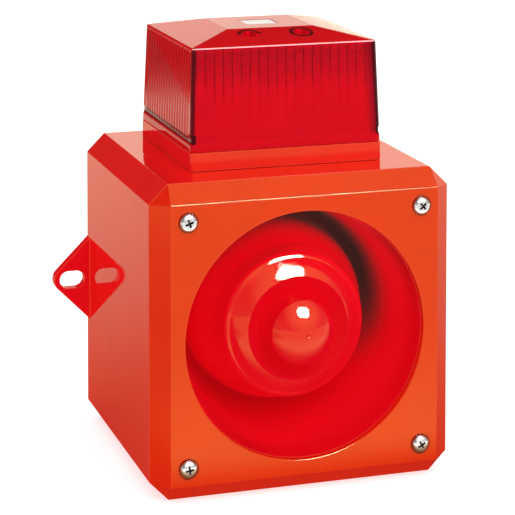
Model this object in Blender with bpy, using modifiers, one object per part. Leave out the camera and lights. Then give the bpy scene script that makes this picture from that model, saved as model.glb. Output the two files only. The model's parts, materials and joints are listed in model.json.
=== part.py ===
"""Alarm siren: a square moulded sounder with a horn in its front cover and a
flashing beacon on its roof.

Metres, +Z up.  The origin is the centre of the rear mounting face: the wall
the siren is fixed to is the plane Y = 0, the front faces -Y and +X is on the
right seen from the front.  Dimensions below are in millimetres and are turned
into metres where meshes are made.  A "depth" is measured backwards (+Y) from
the front plane.
"""
import math

import bpy
import bmesh
from mathutils import Matrix, Vector

# ------------------------------------------------------------ dimensions, mm
MM = 0.001
TAU = 2.0 * math.pi
GAP = 0.3              # clearance between neighbouring pieces

HALF = 80.0            # half the width and half the height of the body
DEPTH = 141.0          # front plane to rear mounting face
EDGE_CUT = 9.75        # 45 degree chamfer along the four long edges
WALL = 3.5             # housing side walls
REAR_WALL = 4.0
RIM_DEPTH = 9.6        # where the housing's front rim starts

SCREW_AT = 62.1        # cover screws, from the centre lines
SCREW_HOLE_R = 2.9     # cover screw holes in cover and housing
HORN_SCREW_AT = 52.3   # screws that hold the horn flare to the cover
DRIVER_SCREW_R = 36.0  # pitch radius of the three driver screws
PILOT_R = 1.8          # holes for the horn and driver screws

PLINTH_X = 52.0        # half width of the beacon base
PLINTH_Y = 48.0        # half depth of the beacon base
BEACON_Y = -62.0       # the beacon's centre line
BASE_Z0 = HALF + GAP
BASE_Z1 = 89.6
BASE_SCREW_X = 40.0    # base screws, from the beacon's centre
BASE_SCREW_Y = 36.0
BASE_HOLE_R = 1.9
LENS_Z0 = BASE_Z1 + GAP
WELL_X = 14.2          # lens screw wells, from the beacon's centre
WELL_Y = 29.0
LEAD_HOLE_Y = BEACON_Y + WELL_Y

BOARD_D = 126.5        # depth of the sounder board's front
BOARD_T = 1.6          # thickness of both circuit boards
BOARD_HALF = 54.0
BOARD_SCREW_AT = 46.0

GLAND_Y, GLAND_Z = -40.0, -42.0      # cable entry in the right wall
STOP_X, STOP_Y = -30.0, -48.0        # spare entry in the floor
ENTRY_R = 10.4                       # hole radius of both entries

BACK, FORWARD = (0, 1, 0), (0, -1, 0)
UP, DOWN = (0, 0, 1), (0, 0, -1)
RIGHT = (1, 0, 0)

# Name, side in X, side in Z
CORNERS = [("upper_left", -1, 1), ("upper_right", 1, 1),
           ("lower_left", -1, -1), ("lower_right", 1, -1)]
# Name, side in X, side in Y
BEACON_CORNERS = [("front_left", -1, -1), ("front_right", 1, -1),
                  ("rear_left", -1, 1), ("rear_right", 1, 1)]
# Name, angle from +X towards +Z
DRIVER_SCREWS = [("top", math.radians(90)), ("left", math.radians(210)),
                 ("right", math.radians(330))]


def at_depth(depth):
    """World Y of a point that lies this deep behind the front plane."""
    return depth - DEPTH


FRONT_CENTRE = (0, at_depth(0), 0)
SEAT_Y = at_depth(BOARD_D - GAP)     # parts on the sounder board start here, towards -Y

# --------------------------------------------------------------- materials
HOUSING_RED = (0.72, 0.02, 0.018)
MOULDED_RED = (0.72, 0.012, 0.02)
BLACK = (0.015, 0.015, 0.016)
GREEN = (0.02, 0.12, 0.05)

LOOKS = {
    "housing_red": dict(rgb=HOUSING_RED, roughness=0.22),
    "cover_red": dict(rgb=(0.78, 0.05, 0.015), roughness=0.22),
    "gasket_black": dict(rgb=BLACK, roughness=0.7),
    "screw_zinc": dict(rgb=(0.72, 0.72, 0.70), roughness=0.18, metallic=1.0),
    "screw_steel": dict(rgb=(0.5, 0.5, 0.5), roughness=0.35, metallic=1.0),
    "horn_red": dict(rgb=MOULDED_RED, roughness=0.2),
    "plug_red": dict(rgb=MOULDED_RED, roughness=0.18),
    "driver_plastic": dict(rgb=(0.03, 0.03, 0.032), roughness=0.5),
    "diaphragm_film": dict(rgb=(0.35, 0.22, 0.08), roughness=0.3),
    "driver_steel": dict(rgb=(0.55, 0.55, 0.56), roughness=0.35, metallic=1.0),
    "ferrite": dict(rgb=(0.04, 0.04, 0.045), roughness=0.6),
    "pole_steel": dict(rgb=(0.5, 0.5, 0.52), roughness=0.35, metallic=1.0),
    "board_green": dict(rgb=GREEN, roughness=0.4),
    "terminal_grey": dict(rgb=(0.45, 0.47, 0.48), roughness=0.45),
    "switch_blue": dict(rgb=(0.02, 0.08, 0.35), roughness=0.4),
    "lever_white": dict(rgb=(0.8, 0.8, 0.78), roughness=0.4),
    "trimmer_blue": dict(rgb=(0.02, 0.12, 0.42), roughness=0.4),
    "rotor_white": dict(rgb=(0.82, 0.80, 0.74), roughness=0.4),
    "capacitor_sleeve": dict(rgb=(0.03, 0.03, 0.08), roughness=0.35),
    "transformer_iron": dict(rgb=(0.12, 0.11, 0.10), roughness=0.5, metallic=0.4),
    "driver_lead_black": dict(rgb=BLACK, roughness=0.45),
    "gland_nylon": dict(rgb=(0.025, 0.025, 0.027), roughness=0.42),
    "locknut_nylon": dict(rgb=(0.03, 0.03, 0.032), roughness=0.42),
    "seal_rubber": dict(rgb=(0.02, 0.02, 0.02), roughness=0.8),
    "gland_nut_nylon": dict(rgb=(0.025, 0.025, 0.027), roughness=0.4),
    "blanking_red": dict(rgb=HOUSING_RED, roughness=0.3),
    "base_red": dict(rgb=MOULDED_RED, roughness=0.22),
    "beacon_gasket_black": dict(rgb=BLACK, roughness=0.6),
    "lens_red": dict(rgb=(0.75, 0.01, 0.02), roughness=0.06, transmission=0.85),
    "label_white": dict(rgb=(0.86, 0.85, 0.82), roughness=0.25),
    "beacon_board_green": dict(rgb=GREEN, roughness=0.4),
    "reflector_white": dict(rgb=(0.86, 0.86, 0.85), roughness=0.3),
    "flash_glass": dict(rgb=(0.85, 0.85, 0.88), roughness=0.04, transmission=0.9),
    "coil_copper": dict(rgb=(0.55, 0.24, 0.1), roughness=0.35, metallic=0.6),
    "storage_sleeve": dict(rgb=(0.02, 0.02, 0.03), roughness=0.35),
    "beacon_lead_grey": dict(rgb=(0.2, 0.2, 0.2), roughness=0.45),
}


def make_material(name, rgb, roughness, metallic=0.0, transmission=0.0):
    mat = bpy.data.materials.new(name)
    mat.use_nodes = True
    inputs = mat.node_tree.nodes["Principled BSDF"].inputs
    inputs["Base Color"].default_value = (*rgb, 1.0)
    inputs["Roughness"].default_value = roughness
    inputs["Metallic"].default_value = metallic
    inputs["Transmission Weight"].default_value = transmission
    mat.diffuse_color = (*rgb, 1.0)
    return mat


# ------------------------------------------------------- scene, collections
for old in list(bpy.data.objects):
    bpy.data.objects.remove(old, do_unlink=True)
siren = bpy.data.collections.new("alarm_siren")
bench = bpy.data.collections.new("cutters")      # pieces in the making
for collection in (siren, bench):
    bpy.context.scene.collection.children.link(collection)
materials = {name: make_material(name, **look) for name, look in LOOKS.items()}


# ------------------------------------------------------------ basic shapes
def to_object(bm):
    bmesh.ops.recalc_face_normals(bm, faces=bm.faces[:])
    mesh = bpy.data.meshes.new("piece")
    bm.to_mesh(mesh)
    bm.free()
    ob = bpy.data.objects.new("piece", mesh)
    bench.objects.link(ob)
    return ob


def evaluated_mesh(ob):
    bpy.context.view_layer.update()
    depsgraph = bpy.context.evaluated_depsgraph_get()
    return bpy.data.meshes.new_from_object(ob.evaluated_get(depsgraph))


def bake(ob):
    """Replace an object's mesh by its evaluated mesh."""
    mesh = evaluated_mesh(ob)
    ob.modifiers.clear()
    ob.data = mesh


def turn_to(axis):
    """Rotation that turns local +Z to the given direction."""
    return Vector(UP).rotation_difference(Vector(axis))


def place(bm, start, axis):
    """Move a mesh made at the origin along +Z to start there and point along axis."""
    matrix = Matrix.Translation(Vector(start) * MM) @ turn_to(axis).to_matrix().to_4x4()
    bmesh.ops.transform(bm, matrix=matrix, verts=bm.verts)


def box(x0, x1, y0, y1, z0, z1):
    bm = bmesh.new()
    bmesh.ops.create_cube(bm, size=1.0)
    size = ((x1 - x0) * MM, (y1 - y0) * MM, (z1 - z0) * MM)
    centre = ((x0 + x1) / 2 * MM, (y0 + y1) / 2 * MM, (z0 + z1) / 2 * MM)
    bmesh.ops.scale(bm, vec=size, verts=bm.verts)
    bmesh.ops.translate(bm, vec=centre, verts=bm.verts)
    return to_object(bm)


def rod(start, axis, radius, length, segments):
    """Cylinder from start along axis."""
    bm = bmesh.new()
    bmesh.ops.create_cone(bm, cap_ends=True, segments=segments, radius1=radius * MM,
                          radius2=radius * MM, depth=length * MM)
    bmesh.ops.translate(bm, vec=(0, 0, length / 2 * MM), verts=bm.verts)
    place(bm, start, axis)
    return to_object(bm)


def rods(starts, axis, radius, length, segments):
    return [rod(start, axis, radius, length, segments) for start in starts]


def hull(points):
    bm = bmesh.new()
    for point in points:
        bm.verts.new(Vector(point) * MM)
    out = bmesh.ops.convex_hull(bm, input=bm.verts[:])
    loose = [e for e in out["geom_interior"] if isinstance(e, bmesh.types.BMVert)]
    if loose:
        bmesh.ops.delete(bm, geom=loose, context="VERTS")
    bmesh.ops.dissolve_limit(bm, angle_limit=math.radians(0.5), verts=bm.verts[:],
                             edges=bm.edges[:])
    return to_object(bm)


def prism(outline, y0, y1):
    """Convex outline in X and Z, extruded along Y from y0 to y1."""
    return hull([(x, y, z) for x, z in outline for y in (y0, y1)])


def octagon(half, corner_cut):
    """Square outline with 45 degree corners, anticlockwise."""
    h, k = half, half - corner_cut
    return [(h, -k), (h, k), (k, h), (-k, h), (-h, k), (-h, -k), (-k, -h), (k, -h)]


def arc(centre_x, radius, start, sweep):
    """Nine points of an arc centred on the X axis, angles in degrees."""
    angles = [math.radians(start + sweep * k / 8) for k in range(9)]
    return [(centre_x + radius * math.cos(a), radius * math.sin(a)) for a in angles]


def turned(profile, base, axis, steps):
    """(radius, height) profile turned about an axis through base.

    It is closed by the axis if it starts and ends there, else by a last edge.
    """
    mesh = bpy.data.meshes.new("profile")
    count = len(profile)
    edges = [(i, i + 1) for i in range(count - 1)]
    if profile[0][0] != 0 or profile[-1][0] != 0:
        edges.append((count - 1, 0))
    mesh.from_pydata([(r * MM, 0.0, h * MM) for r, h in profile], edges, [])
    ob = bpy.data.objects.new("turned", mesh)
    bench.objects.link(ob)
    screw = ob.modifiers.new("turn", "SCREW")
    screw.axis = "Z"
    screw.angle = TAU
    screw.steps = steps
    screw.render_steps = steps
    screw.use_merge_vertices = True
    screw.merge_threshold = 0.00001
    bake(ob)
    bm = bmesh.new()
    bm.from_mesh(ob.data)
    place(bm, base, axis)
    bmesh.ops.recalc_face_normals(bm, faces=bm.faces[:])
    if bm.calc_volume(signed=True) < 0:
        bmesh.ops.reverse_faces(bm, faces=bm.faces[:])
    bm.to_mesh(ob.data)
    bm.free()
    return ob


def turned_horn(profile, steps):
    """(radius, depth) profile turned about the horn's axis."""
    return turned([(r, DEPTH - depth) for r, depth in profile], (0, 0, 0), FORWARD, steps)


def wire(points, radius):
    """Round lead along a poly line."""
    curve = bpy.data.curves.new("wire", "CURVE")
    curve.dimensions = "3D"
    curve.bevel_depth = radius * MM
    curve.bevel_resolution = 2
    curve.use_fill_caps = True
    spline = curve.splines.new("POLY")
    spline.points.add(len(points) - 1)
    for knot, (x, y, z) in zip(spline.points, points):
        knot.co = (x * MM, y * MM, z * MM, 1.0)
    ob = bpy.data.objects.new("wire", curve)
    bench.objects.link(ob)
    mesh = evaluated_mesh(ob)
    bpy.data.objects.remove(ob, do_unlink=True)
    bm = bmesh.new()
    bm.from_mesh(mesh)
    bmesh.ops.remove_doubles(bm, verts=bm.verts[:], dist=0.000001)
    return to_object(bm)


def smooth_path(points, per_span=3):
    """Catmull-Rom points through a few guide points."""
    guide = [Vector(p) for p in points]
    guide = [2 * guide[0] - guide[1]] + guide + [2 * guide[-1] - guide[-2]]
    path = []
    for i in range(1, len(guide) - 2):
        a, b, c, d = guide[i - 1:i + 3]
        for k in range(per_span):
            t = k / per_span
            path.append(0.5 * ((2 * b) + (c - a) * t + (2 * a - 5 * b + 4 * c - d) * t * t
                               + (3 * b - a - 3 * c + d) * t ** 3))
    path.append(guide[-2])
    return path


def boolean(ob, others, how):
    for other in others:
        mod = ob.modifiers.new(how.lower(), "BOOLEAN")
        mod.operation = how
        mod.solver = "EXACT"
        mod.object = other
        bake(ob)
        bpy.data.objects.remove(other, do_unlink=True)


def cut(ob, *others):
    boolean(ob, others, "DIFFERENCE")


def join(ob, *others):
    boolean(ob, others, "UNION")


def finish(ob, name, material, origin=(0, 0, 0), angle=32.0):
    """Clean, name and shade a piece, and put its origin where it turns or rests."""
    bm = bmesh.new()
    bm.from_mesh(ob.data)
    bmesh.ops.remove_doubles(bm, verts=bm.verts[:], dist=0.0000005)
    bmesh.ops.dissolve_degenerate(bm, edges=bm.edges[:], dist=0.0000005)
    bmesh.ops.translate(bm, vec=-Vector(origin) * MM, verts=bm.verts)
    bm.to_mesh(ob.data)
    bm.free()
    ob.location = Vector(origin) * MM
    ob.name = name
    ob.data.name = name
    ob.data.materials.clear()
    ob.data.materials.append(materials[material])
    ob.data.shade_smooth()
    ob.data.set_sharp_from_angle(angle=math.radians(angle))
    bench.objects.unlink(ob)
    siren.objects.link(ob)


# ----------------------------------------------------------- repeated places
def face_corners(offset, y):
    """Four points at equal offsets from the centre lines, in CORNERS order."""
    return [(sx * offset, y, sz * offset) for _, sx, sz in CORNERS]


def beacon_corners(x, y, z):
    """Four points round the beacon's centre, in BEACON_CORNERS order."""
    return [(sx * x, BEACON_Y + sy * y, z) for _, sx, sy in BEACON_CORNERS]


def driver_spots(depth):
    return [(DRIVER_SCREW_R * math.cos(a), at_depth(depth), DRIVER_SCREW_R * math.sin(a))
            for _, a in DRIVER_SCREWS]


# ================================================================== screws
SMALL_HEAD = dict(head_r=2.8, head_h=2.0, steps=8, recess="slot")


def pan_head(head_r, head_h, shank_r, length, steps, recess):
    """Pan head screw, seat at local z 0, head up, with a cross or slot recess."""
    head = [(0, head_h), (head_r * 0.55, head_h * 0.95), (head_r * 0.9, head_h * 0.66)]
    if steps >= 12:      # the small screws do without this point
        head.append((head_r, head_h * 0.25))
    shank = [(shank_r, 0.0), (shank_r, -length), (0, -length)]
    screw = turned(head + [(head_r, 0.0)] + shank, (0, 0, 0), UP, steps)
    reach = head_r * 0.52
    half_w = head_r * 0.13
    floor = head_h - head_h * 0.55
    cut(screw, box(-reach, reach, -half_w, half_w, floor, head_h + 3))
    if recess == "cross":
        cut(screw, box(-half_w, half_w, -reach, reach, floor - 0.01, head_h + 3))
    return screw


def place_screws(prefix, places, spots, axis, material, **size):
    """One screw, and copies that share its mesh, each with its origin at its seat."""
    first = pan_head(**size)
    finish(first, prefix + "_" + places[0][0], material, angle=30)
    first.rotation_euler = turn_to(axis).to_euler()
    first.location = Vector(spots[0]) * MM
    for (place_name, *_), spot in zip(places[1:], spots[1:]):
        copy = bpy.data.objects.new(prefix + "_" + place_name, first.data)
        copy.location = Vector(spot) * MM
        copy.rotation_euler = first.rotation_euler
        siren.objects.link(copy)


# ============================================================ rear housing
LUG_ROOT = 23.0        # half height of a fixing lug where it meets the wall
LUG_REACH = 20.2       # how far a lug stands out from the wall
LUG_T = 6.0
LUG_OVERLAP = 2.5      # how far a lug runs into the wall
SLOT_LEN = 14.0
SLOT_W = 9.6
SLOT_AT = 90.0         # slot centre from the centre line
COLUMN_R = 6.0         # corner columns for the cover screws
COLUMN_SHORT = 1.2     # the columns stop this far behind the rim
STANDOFF_R = 3.6


def add_columns(housing):
    """Corner columns that take the cover screws."""
    join(housing, *rods(face_corners(SCREW_AT, -REAR_WALL + 2.0), FORWARD, COLUMN_R,
                        DEPTH - RIM_DEPTH - REAR_WALL + 2.0 - COLUMN_SHORT, 12))
    cut(housing, *rods(face_corners(SCREW_AT, at_depth(45.0)), FORWARD, SCREW_HOLE_R, 45.0, 12))


def cut_gasket_groove(housing, rim):
    groove = prism(octagon(79.0, 9.3), rim - 3, at_depth(RIM_DEPTH + 1.0))
    cut(groove, prism(octagon(77.5, 8.7), rim - 6, at_depth(RIM_DEPTH + 4.0)))
    cut(housing, groove)


def add_standoffs(housing):
    """Standoffs for the sounder board."""
    join(housing, *rods(face_corners(BOARD_SCREW_AT, -REAR_WALL + 1.0), FORWARD, STANDOFF_R,
                        DEPTH - REAR_WALL - BOARD_D - BOARD_T - GAP + 1.0, 10))
    cut(housing, *rods(face_corners(BOARD_SCREW_AT, -REAR_WALL - 0.6), FORWARD, 1.6, 14.0, 8))


def add_lugs(housing):
    """Fixing lugs: half of a square standing on its corner, flush with the rear
    face, with a rounded tip and a horizontal slot."""
    tip_r = (LUG_ROOT - LUG_REACH) / (math.sqrt(2.0) - 1.0)
    root = HALF - LUG_OVERLAP
    lug = [(root, -LUG_ROOT), (HALF, -LUG_ROOT)]
    lug += arc(HALF + LUG_REACH - tip_r, tip_r, -45, 90)
    lug += [(HALF, LUG_ROOT), (root, LUG_ROOT)]
    end_r = SLOT_W / 2
    end_at = (SLOT_LEN - SLOT_W) / 2
    slot = arc(SLOT_AT + end_at, end_r, -90, 180) + arc(SLOT_AT - end_at, end_r, 90, 180)
    for side in (-1, 1):
        join(housing, prism([(side * x, z) for x, z in lug], -LUG_T, 0.0))
        cut(housing, prism([(side * x, z) for x, z in slot], -LUG_T - 4, 4.0))


def cut_entries(housing):
    """Cable entry in the right wall and a recessed spare entry in the floor."""
    cut(housing, rod((HALF - 12, GLAND_Y, GLAND_Z), RIGHT, ENTRY_R, 24, 20))
    join(housing, rod((STOP_X, STOP_Y, -HALF + 2.0), UP, 15.5, 5.8, 20))
    below = (STOP_X, STOP_Y, -HALF - 3.0)
    cut(housing, rod(below, UP, ENTRY_R, 18, 20), rod(below, UP, 13.1, 5.4, 20))


def rear_housing():
    """A deep square tray with its four long edges cut at 45 degrees."""
    rim = at_depth(RIM_DEPTH)
    housing = prism(octagon(HALF, EDGE_CUT), rim, 0.0)
    cut(housing, prism(octagon(HALF - WALL, 8.3), rim - 5, -REAR_WALL))
    add_columns(housing)
    cut_gasket_groove(housing, rim)
    add_standoffs(housing)
    add_lugs(housing)
    cut_entries(housing)
    # Roof holes: four beacon base screws and the beacon lead.
    under_roof = HALF - 9
    cut(housing, *rods(beacon_corners(BASE_SCREW_X, BASE_SCREW_Y, under_roof), UP,
                       BASE_HOLE_R, 14, 8))
    cut(housing, rod((0.0, LEAD_HOLE_Y, under_roof), UP, 4.0, 14, 12))
    finish(housing, "rear_housing", "housing_red")


# ============================================================= front cover
FLAT = 71.1            # half side of the flat square on the cover's front
BEVEL_DEPTH = 8.8      # how far back the cover's sloped border reaches
COVER_PLATE = 3.2      # thickness of the cover's front plate
BOSS_D = 1.6           # depth at which the rear bosses start, inside the plate
HORN_BOSS_END = 5.5    # depth at which the horn screw bosses end
HEAD_RECESS = 1.0      # depth of the recesses for the cover screw heads
HORN_R = 63.5          # radius of the opening in the cover


def front_cover():
    """Flat square face inside four sloped borders; each corner ends in a small
    triangle that runs out into the long-edge chamfer of the body."""
    outer = face_corners(FLAT, at_depth(0))
    outer += [(x, at_depth(BEVEL_DEPTH), z) for x, z in octagon(HALF, EDGE_CUT)]
    inner = face_corners(70.9, at_depth(COVER_PLATE))
    for depth in (BEVEL_DEPTH, BEVEL_DEPTH + 6.0):
        inner += [(x, at_depth(depth), z) for x, z in octagon(HALF - WALL, 8.5)]
    cover = hull(outer)
    cut(cover, hull(inner))
    for _, sx, sz in CORNERS:
        join(cover, rod((sx * SCREW_AT, at_depth(BOSS_D), sz * SCREW_AT), BACK,
                        6.6, BEVEL_DEPTH - BOSS_D, 14))
        join(cover, rod((sx * HORN_SCREW_AT, at_depth(BOSS_D), sz * HORN_SCREW_AT), BACK,
                        4.2, HORN_BOSS_END - BOSS_D, 10))
    ahead = 4.0          # the cutters start this far in front of the cover
    for _, sx, sz in CORNERS:
        start = (sx * SCREW_AT, at_depth(-ahead), sz * SCREW_AT)
        cut(cover, rod(start, BACK, SCREW_HOLE_R, 20.0, 12),
            rod(start, BACK, 5.2, ahead + HEAD_RECESS, 20),
            rod((sx * HORN_SCREW_AT, at_depth(1.2), sz * HORN_SCREW_AT), BACK, PILOT_R, 9.0, 8))
    cut(cover, rod((0, at_depth(-ahead), 0), BACK, HORN_R, 12.0, 56))
    finish(cover, "front_cover", "cover_red", origin=FRONT_CENTRE)


def cover_gasket():
    gasket = prism(octagon(78.7, 9.2), at_depth(9.15), at_depth(10.3))
    cut(gasket, prism(octagon(77.8, 8.8), at_depth(5.0), at_depth(14.0)))
    finish(gasket, "cover_gasket", "gasket_black")


def cover_screws():
    place_screws("cover_screw", CORNERS, face_corners(SCREW_AT, at_depth(HEAD_RECESS - GAP)),
                 FORWARD, "screw_zinc", head_r=4.65, head_h=3.0, shank_r=2.5, length=30.0,
                 steps=18, recess="cross")


# ==================================================================== horn
# Radius, depth: bowl front to floor, throat tube, rear side, front flange
FLARE_PROFILE = [
    (63.2, 3.5), (62.7, 14), (61.6, 26), (59.8, 37), (58.2, 43.4), (57.9, 43.7),
    (55.9, 54), (53.2, 65.0), (50.6, 70.2), (46.0, 74.6), (36.0, 77.2), (15.0, 77.2),
    (11.6, 75.0), (9.9, 52), (9.3, 36.2), (7.6, 36.2), (6.2, 80.8),
    (40.0, 80.8), (47.0, 79.4), (53.6, 74.4), (57.4, 65), (60.0, 51), (62.9, 34),
    (65.2, 12), (65.8, 6.0), (69.4, 6.0), (69.4, 3.5),
]
EAR_D = 5.8            # depth of the front of the flare's screw ears
EAR_T = 2.5

NOSE_R = 22.0          # sphere radius of the plug's domed nose
NOSE_EDGE_R = 16.3
NOSE_D = -2.5          # the nose stands proud of the front plane
# Radius, depth: V groove behind the nose, ridged rim, widening skirt
PLUG_OUTSIDE = [
    (16.7, 6.5), (17.0, 15.5), (18.6, 18.6), (20.2, 18.0), (25.6, 13.6), (26.8, 12.95),
    (30.1, 14.6), (32.6, 16.6), (34.2, 17.5), (35.6, 18.3), (36.5, 19.5), (36.9, 22.0),
    (38.8, 33.0), (42.2, 39.2), (46.2, 45.5), (48.0, 53.0), (48.7, 62.0),
]
# Radius, depth: back along the inside to the nose
PLUG_INSIDE = [
    (46.7, 62.0), (45.9, 53.4), (43.9, 46.6), (40.2, 40.6), (36.8, 33.8), (34.9, 25.0),
    (34.3, 20.8), (32.4, 19.0), (29.2, 16.6), (27.0, 15.4), (21.6, 20.0), (18.8, 21.0),
    (15.6, 18.6), (14.8, 15.6), (14.6, 8.4), (12.6, 4.0), (8.0, 0.9), (0, -0.4),
]
# Radius, depth: outline of a rib from the plug's skirt to the flare's floor
RIB_OUTLINE = [(26.0, 46.0), (45.4, 46.0), (45.6, 60.0), (34.0, 76.8), (26.0, 76.8)]


def horn_flare():
    """Front flange, deep bowl, floor and the central throat tube that runs
    forward inside the plug, with four screw ears and three driver bosses."""
    flare = turned_horn(FLARE_PROFILE, 32)
    for _, sx, sz in CORNERS:
        ear = rod((sx * HORN_SCREW_AT, at_depth(EAR_D), sz * HORN_SCREW_AT), BACK, 4.4, EAR_T, 10)
        web = hull([(sx * (x + across * 2.6), at_depth(depth), sz * (x - across * 2.6))
                    for x in (47.4, HORN_SCREW_AT) for across in (-1, 1)
                    for depth in (EAR_D, EAR_D + EAR_T)])
        join(flare, ear, web)
    cut(flare, *rods(face_corners(HORN_SCREW_AT, at_depth(2.0)), BACK, PILOT_R, 12, 8))
    join(flare, *rods(driver_spots(79.8), BACK, 4.0, 4.3, 10))
    cut(flare, *rods(driver_spots(78.6), BACK, PILOT_R, 9, 8))
    finish(flare, "horn_flare", "horn_red", origin=FRONT_CENTRE, angle=40)


def horn_plug():
    """Hollow bell that leaves a narrow ring-shaped slot to the bowl, on three ribs."""
    nose = []
    for k in range(5):
        a = math.asin(NOSE_EDGE_R / NOSE_R) * k / 4
        nose.append((NOSE_R * math.sin(a), NOSE_D + NOSE_R * (1 - math.cos(a))))
    plug = turned_horn(nose + PLUG_OUTSIDE + PLUG_INSIDE, 32)
    for k in range(3):
        rib = hull([(r, at_depth(depth), z) for r, depth in RIB_OUTLINE for z in (-1.3, 1.3)])
        rib.data.transform(Matrix.Rotation(math.radians(30 + 120 * k), 4, "Y"))
        join(plug, rib)
    finish(plug, "horn_plug", "plug_red", origin=FRONT_CENTRE, angle=40)


def horn_screws():
    place_screws("horn_screw", CORNERS, face_corners(HORN_SCREW_AT, at_depth(EAR_D + EAR_T + GAP)),
                 BACK, "screw_steel", shank_r=1.45, length=7.0, **SMALL_HEAD)


# ================================================================== driver
# Small moving-coil unit screwed to the rear of the flare.
TAB_BACK = 86.9        # depth of the rear of the throat plate's three screw tabs

# Turned pieces: name, material, depth of the origin, (radius, depth) profile
DRIVER_PIECES = [
    ("driver_diaphragm", "diaphragm_film", 88.0,
     [(0, 84.6), (9.0, 85.4), (17.6, 88.0), (28.6, 88.0), (28.6, 88.5), (18.2, 88.5),
      (18.2, 95.6), (17.7, 95.6), (17.7, 88.7), (8.8, 86.0), (0, 85.2)]),
    ("driver_front_plate", "driver_steel", 90.5,
     [(18.9, 90.5), (32.0, 90.5), (32.0, 94.5), (18.9, 94.5)]),
    ("driver_magnet", "ferrite", 94.8,
     [(20.5, 94.8), (31.0, 94.8), (31.0, 104.2), (20.5, 104.2)]),
    ("driver_back_plate", "pole_steel", 104.5,
     [(0, 90.5), (17.0, 90.5), (17.0, 104.5), (32.0, 104.5), (32.0, 108.5), (0, 108.5)]),
]


def driver_throat_plate():
    throat = turned_horn([(6.2, 81.1), (31.5, 81.1), (31.5, 90.2), (29.8, 90.2),
                          (29.8, TAB_BACK), (25.5, TAB_BACK), (22.0, 85.4), (8.0, 82.9),
                          (6.2, 82.7)], 24)
    for _, angle in DRIVER_SCREWS:
        tab = box(28.0, 40.0, at_depth(84.4), at_depth(TAB_BACK), -4.0, 4.0)
        tab.data.transform(Matrix.Rotation(-angle, 4, "Y"))
        join(throat, tab)
    cut(throat, *rods(driver_spots(82.0), BACK, PILOT_R, 9, 8))
    finish(throat, "driver_throat_plate", "driver_plastic", origin=(0, at_depth(81.1), 0))


def driver():
    driver_throat_plate()
    for name, material, depth, profile in DRIVER_PIECES:
        finish(turned_horn(profile, 24), name, material, origin=(0, at_depth(depth), 0))
    place_screws("driver_screw", DRIVER_SCREWS, driver_spots(TAB_BACK + GAP), BACK,
                 "screw_steel", shank_r=1.45, length=8.0, **SMALL_HEAD)


# ============================================================ sounder board
TRIM_X, TRIM_Z = 22.0, 46.5          # centre of the volume control


def sounder_board():
    front = at_depth(BOARD_D)
    board = box(-BOARD_HALF, BOARD_HALF, front, at_depth(BOARD_D + BOARD_T),
                -BOARD_HALF, BOARD_HALF)
    cut(board, *rods(face_corners(BOARD_SCREW_AT, front - 4), BACK, 1.9, 10, 8))
    finish(board, "sounder_board", "board_green")
    place_screws("board_screw", CORNERS, face_corners(BOARD_SCREW_AT, SEAT_Y), FORWARD,
                 "screw_steel", shank_r=1.25, length=7.5, **SMALL_HEAD)


def terminal_block():
    """Six wire entries in the lower side, each with a pocket in the front."""
    block = box(8.0, 40.0, SEAT_Y - 11.0, SEAT_Y, -52.0, -41.0)
    for k in range(6):
        x = 11.0 + 5.2 * k
        cut(block, box(x - 1.4, x + 1.4, SEAT_Y - 5.2, SEAT_Y - 2.2, -55.0, -46.0),
            box(x - 1.4, x + 1.4, SEAT_Y - 14.0, SEAT_Y - 7.5, -48.0, -44.5))
    finish(block, "terminal_block", "terminal_grey")


def tone_switch():
    """Four-way switch whose levers slide along Z in their slots."""
    lever_xs = [-19.9 + 2.9 * k for k in range(4)]
    body = box(-22.0, -9.0, SEAT_Y - 5.4, SEAT_Y, 43.0, 50.0)
    for x in lever_xs:
        cut(body, box(x - 0.95, x + 0.95, SEAT_Y - 8, SEAT_Y - 2.6, 44.8, 48.2))
    finish(body, "tone_switch_body", "switch_blue")
    tip = SEAT_Y - 6.4
    for k, x in enumerate(lever_xs):
        lever = box(x - 0.6, x + 0.6, tip, SEAT_Y - 2.95, 45.1, 46.7)
        finish(lever, "tone_switch_lever_%d" % (k + 1), "lever_white", origin=(x, tip, 45.9))


def volume_control():
    """A slotted rotor in a square body."""
    body = box(TRIM_X - 5, TRIM_X + 5, SEAT_Y - 5.5, SEAT_Y, TRIM_Z - 5, TRIM_Z + 5)
    cut(body, rod((TRIM_X, SEAT_Y - 9.0, TRIM_Z), BACK, 3.3, 6.3, 20))
    finish(body, "volume_control_body", "trimmer_blue")
    rotor_at = (TRIM_X, SEAT_Y - 7.0, TRIM_Z)
    rotor = rod(rotor_at, BACK, 2.9, 4.0, 20)
    cut(rotor, box(TRIM_X - 2.1, TRIM_X + 2.1, SEAT_Y - 9, SEAT_Y - 6.0,
                   TRIM_Z - 0.45, TRIM_Z + 0.45))
    finish(rotor, "volume_control_rotor", "rotor_white", origin=rotor_at)


def smoothing_capacitor():
    can = turned([(0, 20.0), (5.6, 20.0), (6.2, 19.4), (6.2, 2.6), (5.7, 2.1), (6.2, 1.6),
                  (6.2, 0.0), (0, 0.0)], (-38.0, SEAT_Y, 20.0), FORWARD, 20)
    finish(can, "smoothing_capacitor", "capacitor_sleeve")


def tone_transformer():
    """Block with a notch in its top and one in its bottom."""
    core = box(30.0, 50.0, SEAT_Y - 15.0, SEAT_Y, 4.0, 26.0)
    for z0, z1 in ((1.0, 8.0), (22.0, 29.0)):
        cut(core, box(33.6, 46.4, SEAT_Y - 20.0, SEAT_Y - 4.0, z0, z1))
    finish(core, "tone_transformer", "transformer_iron")


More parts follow.
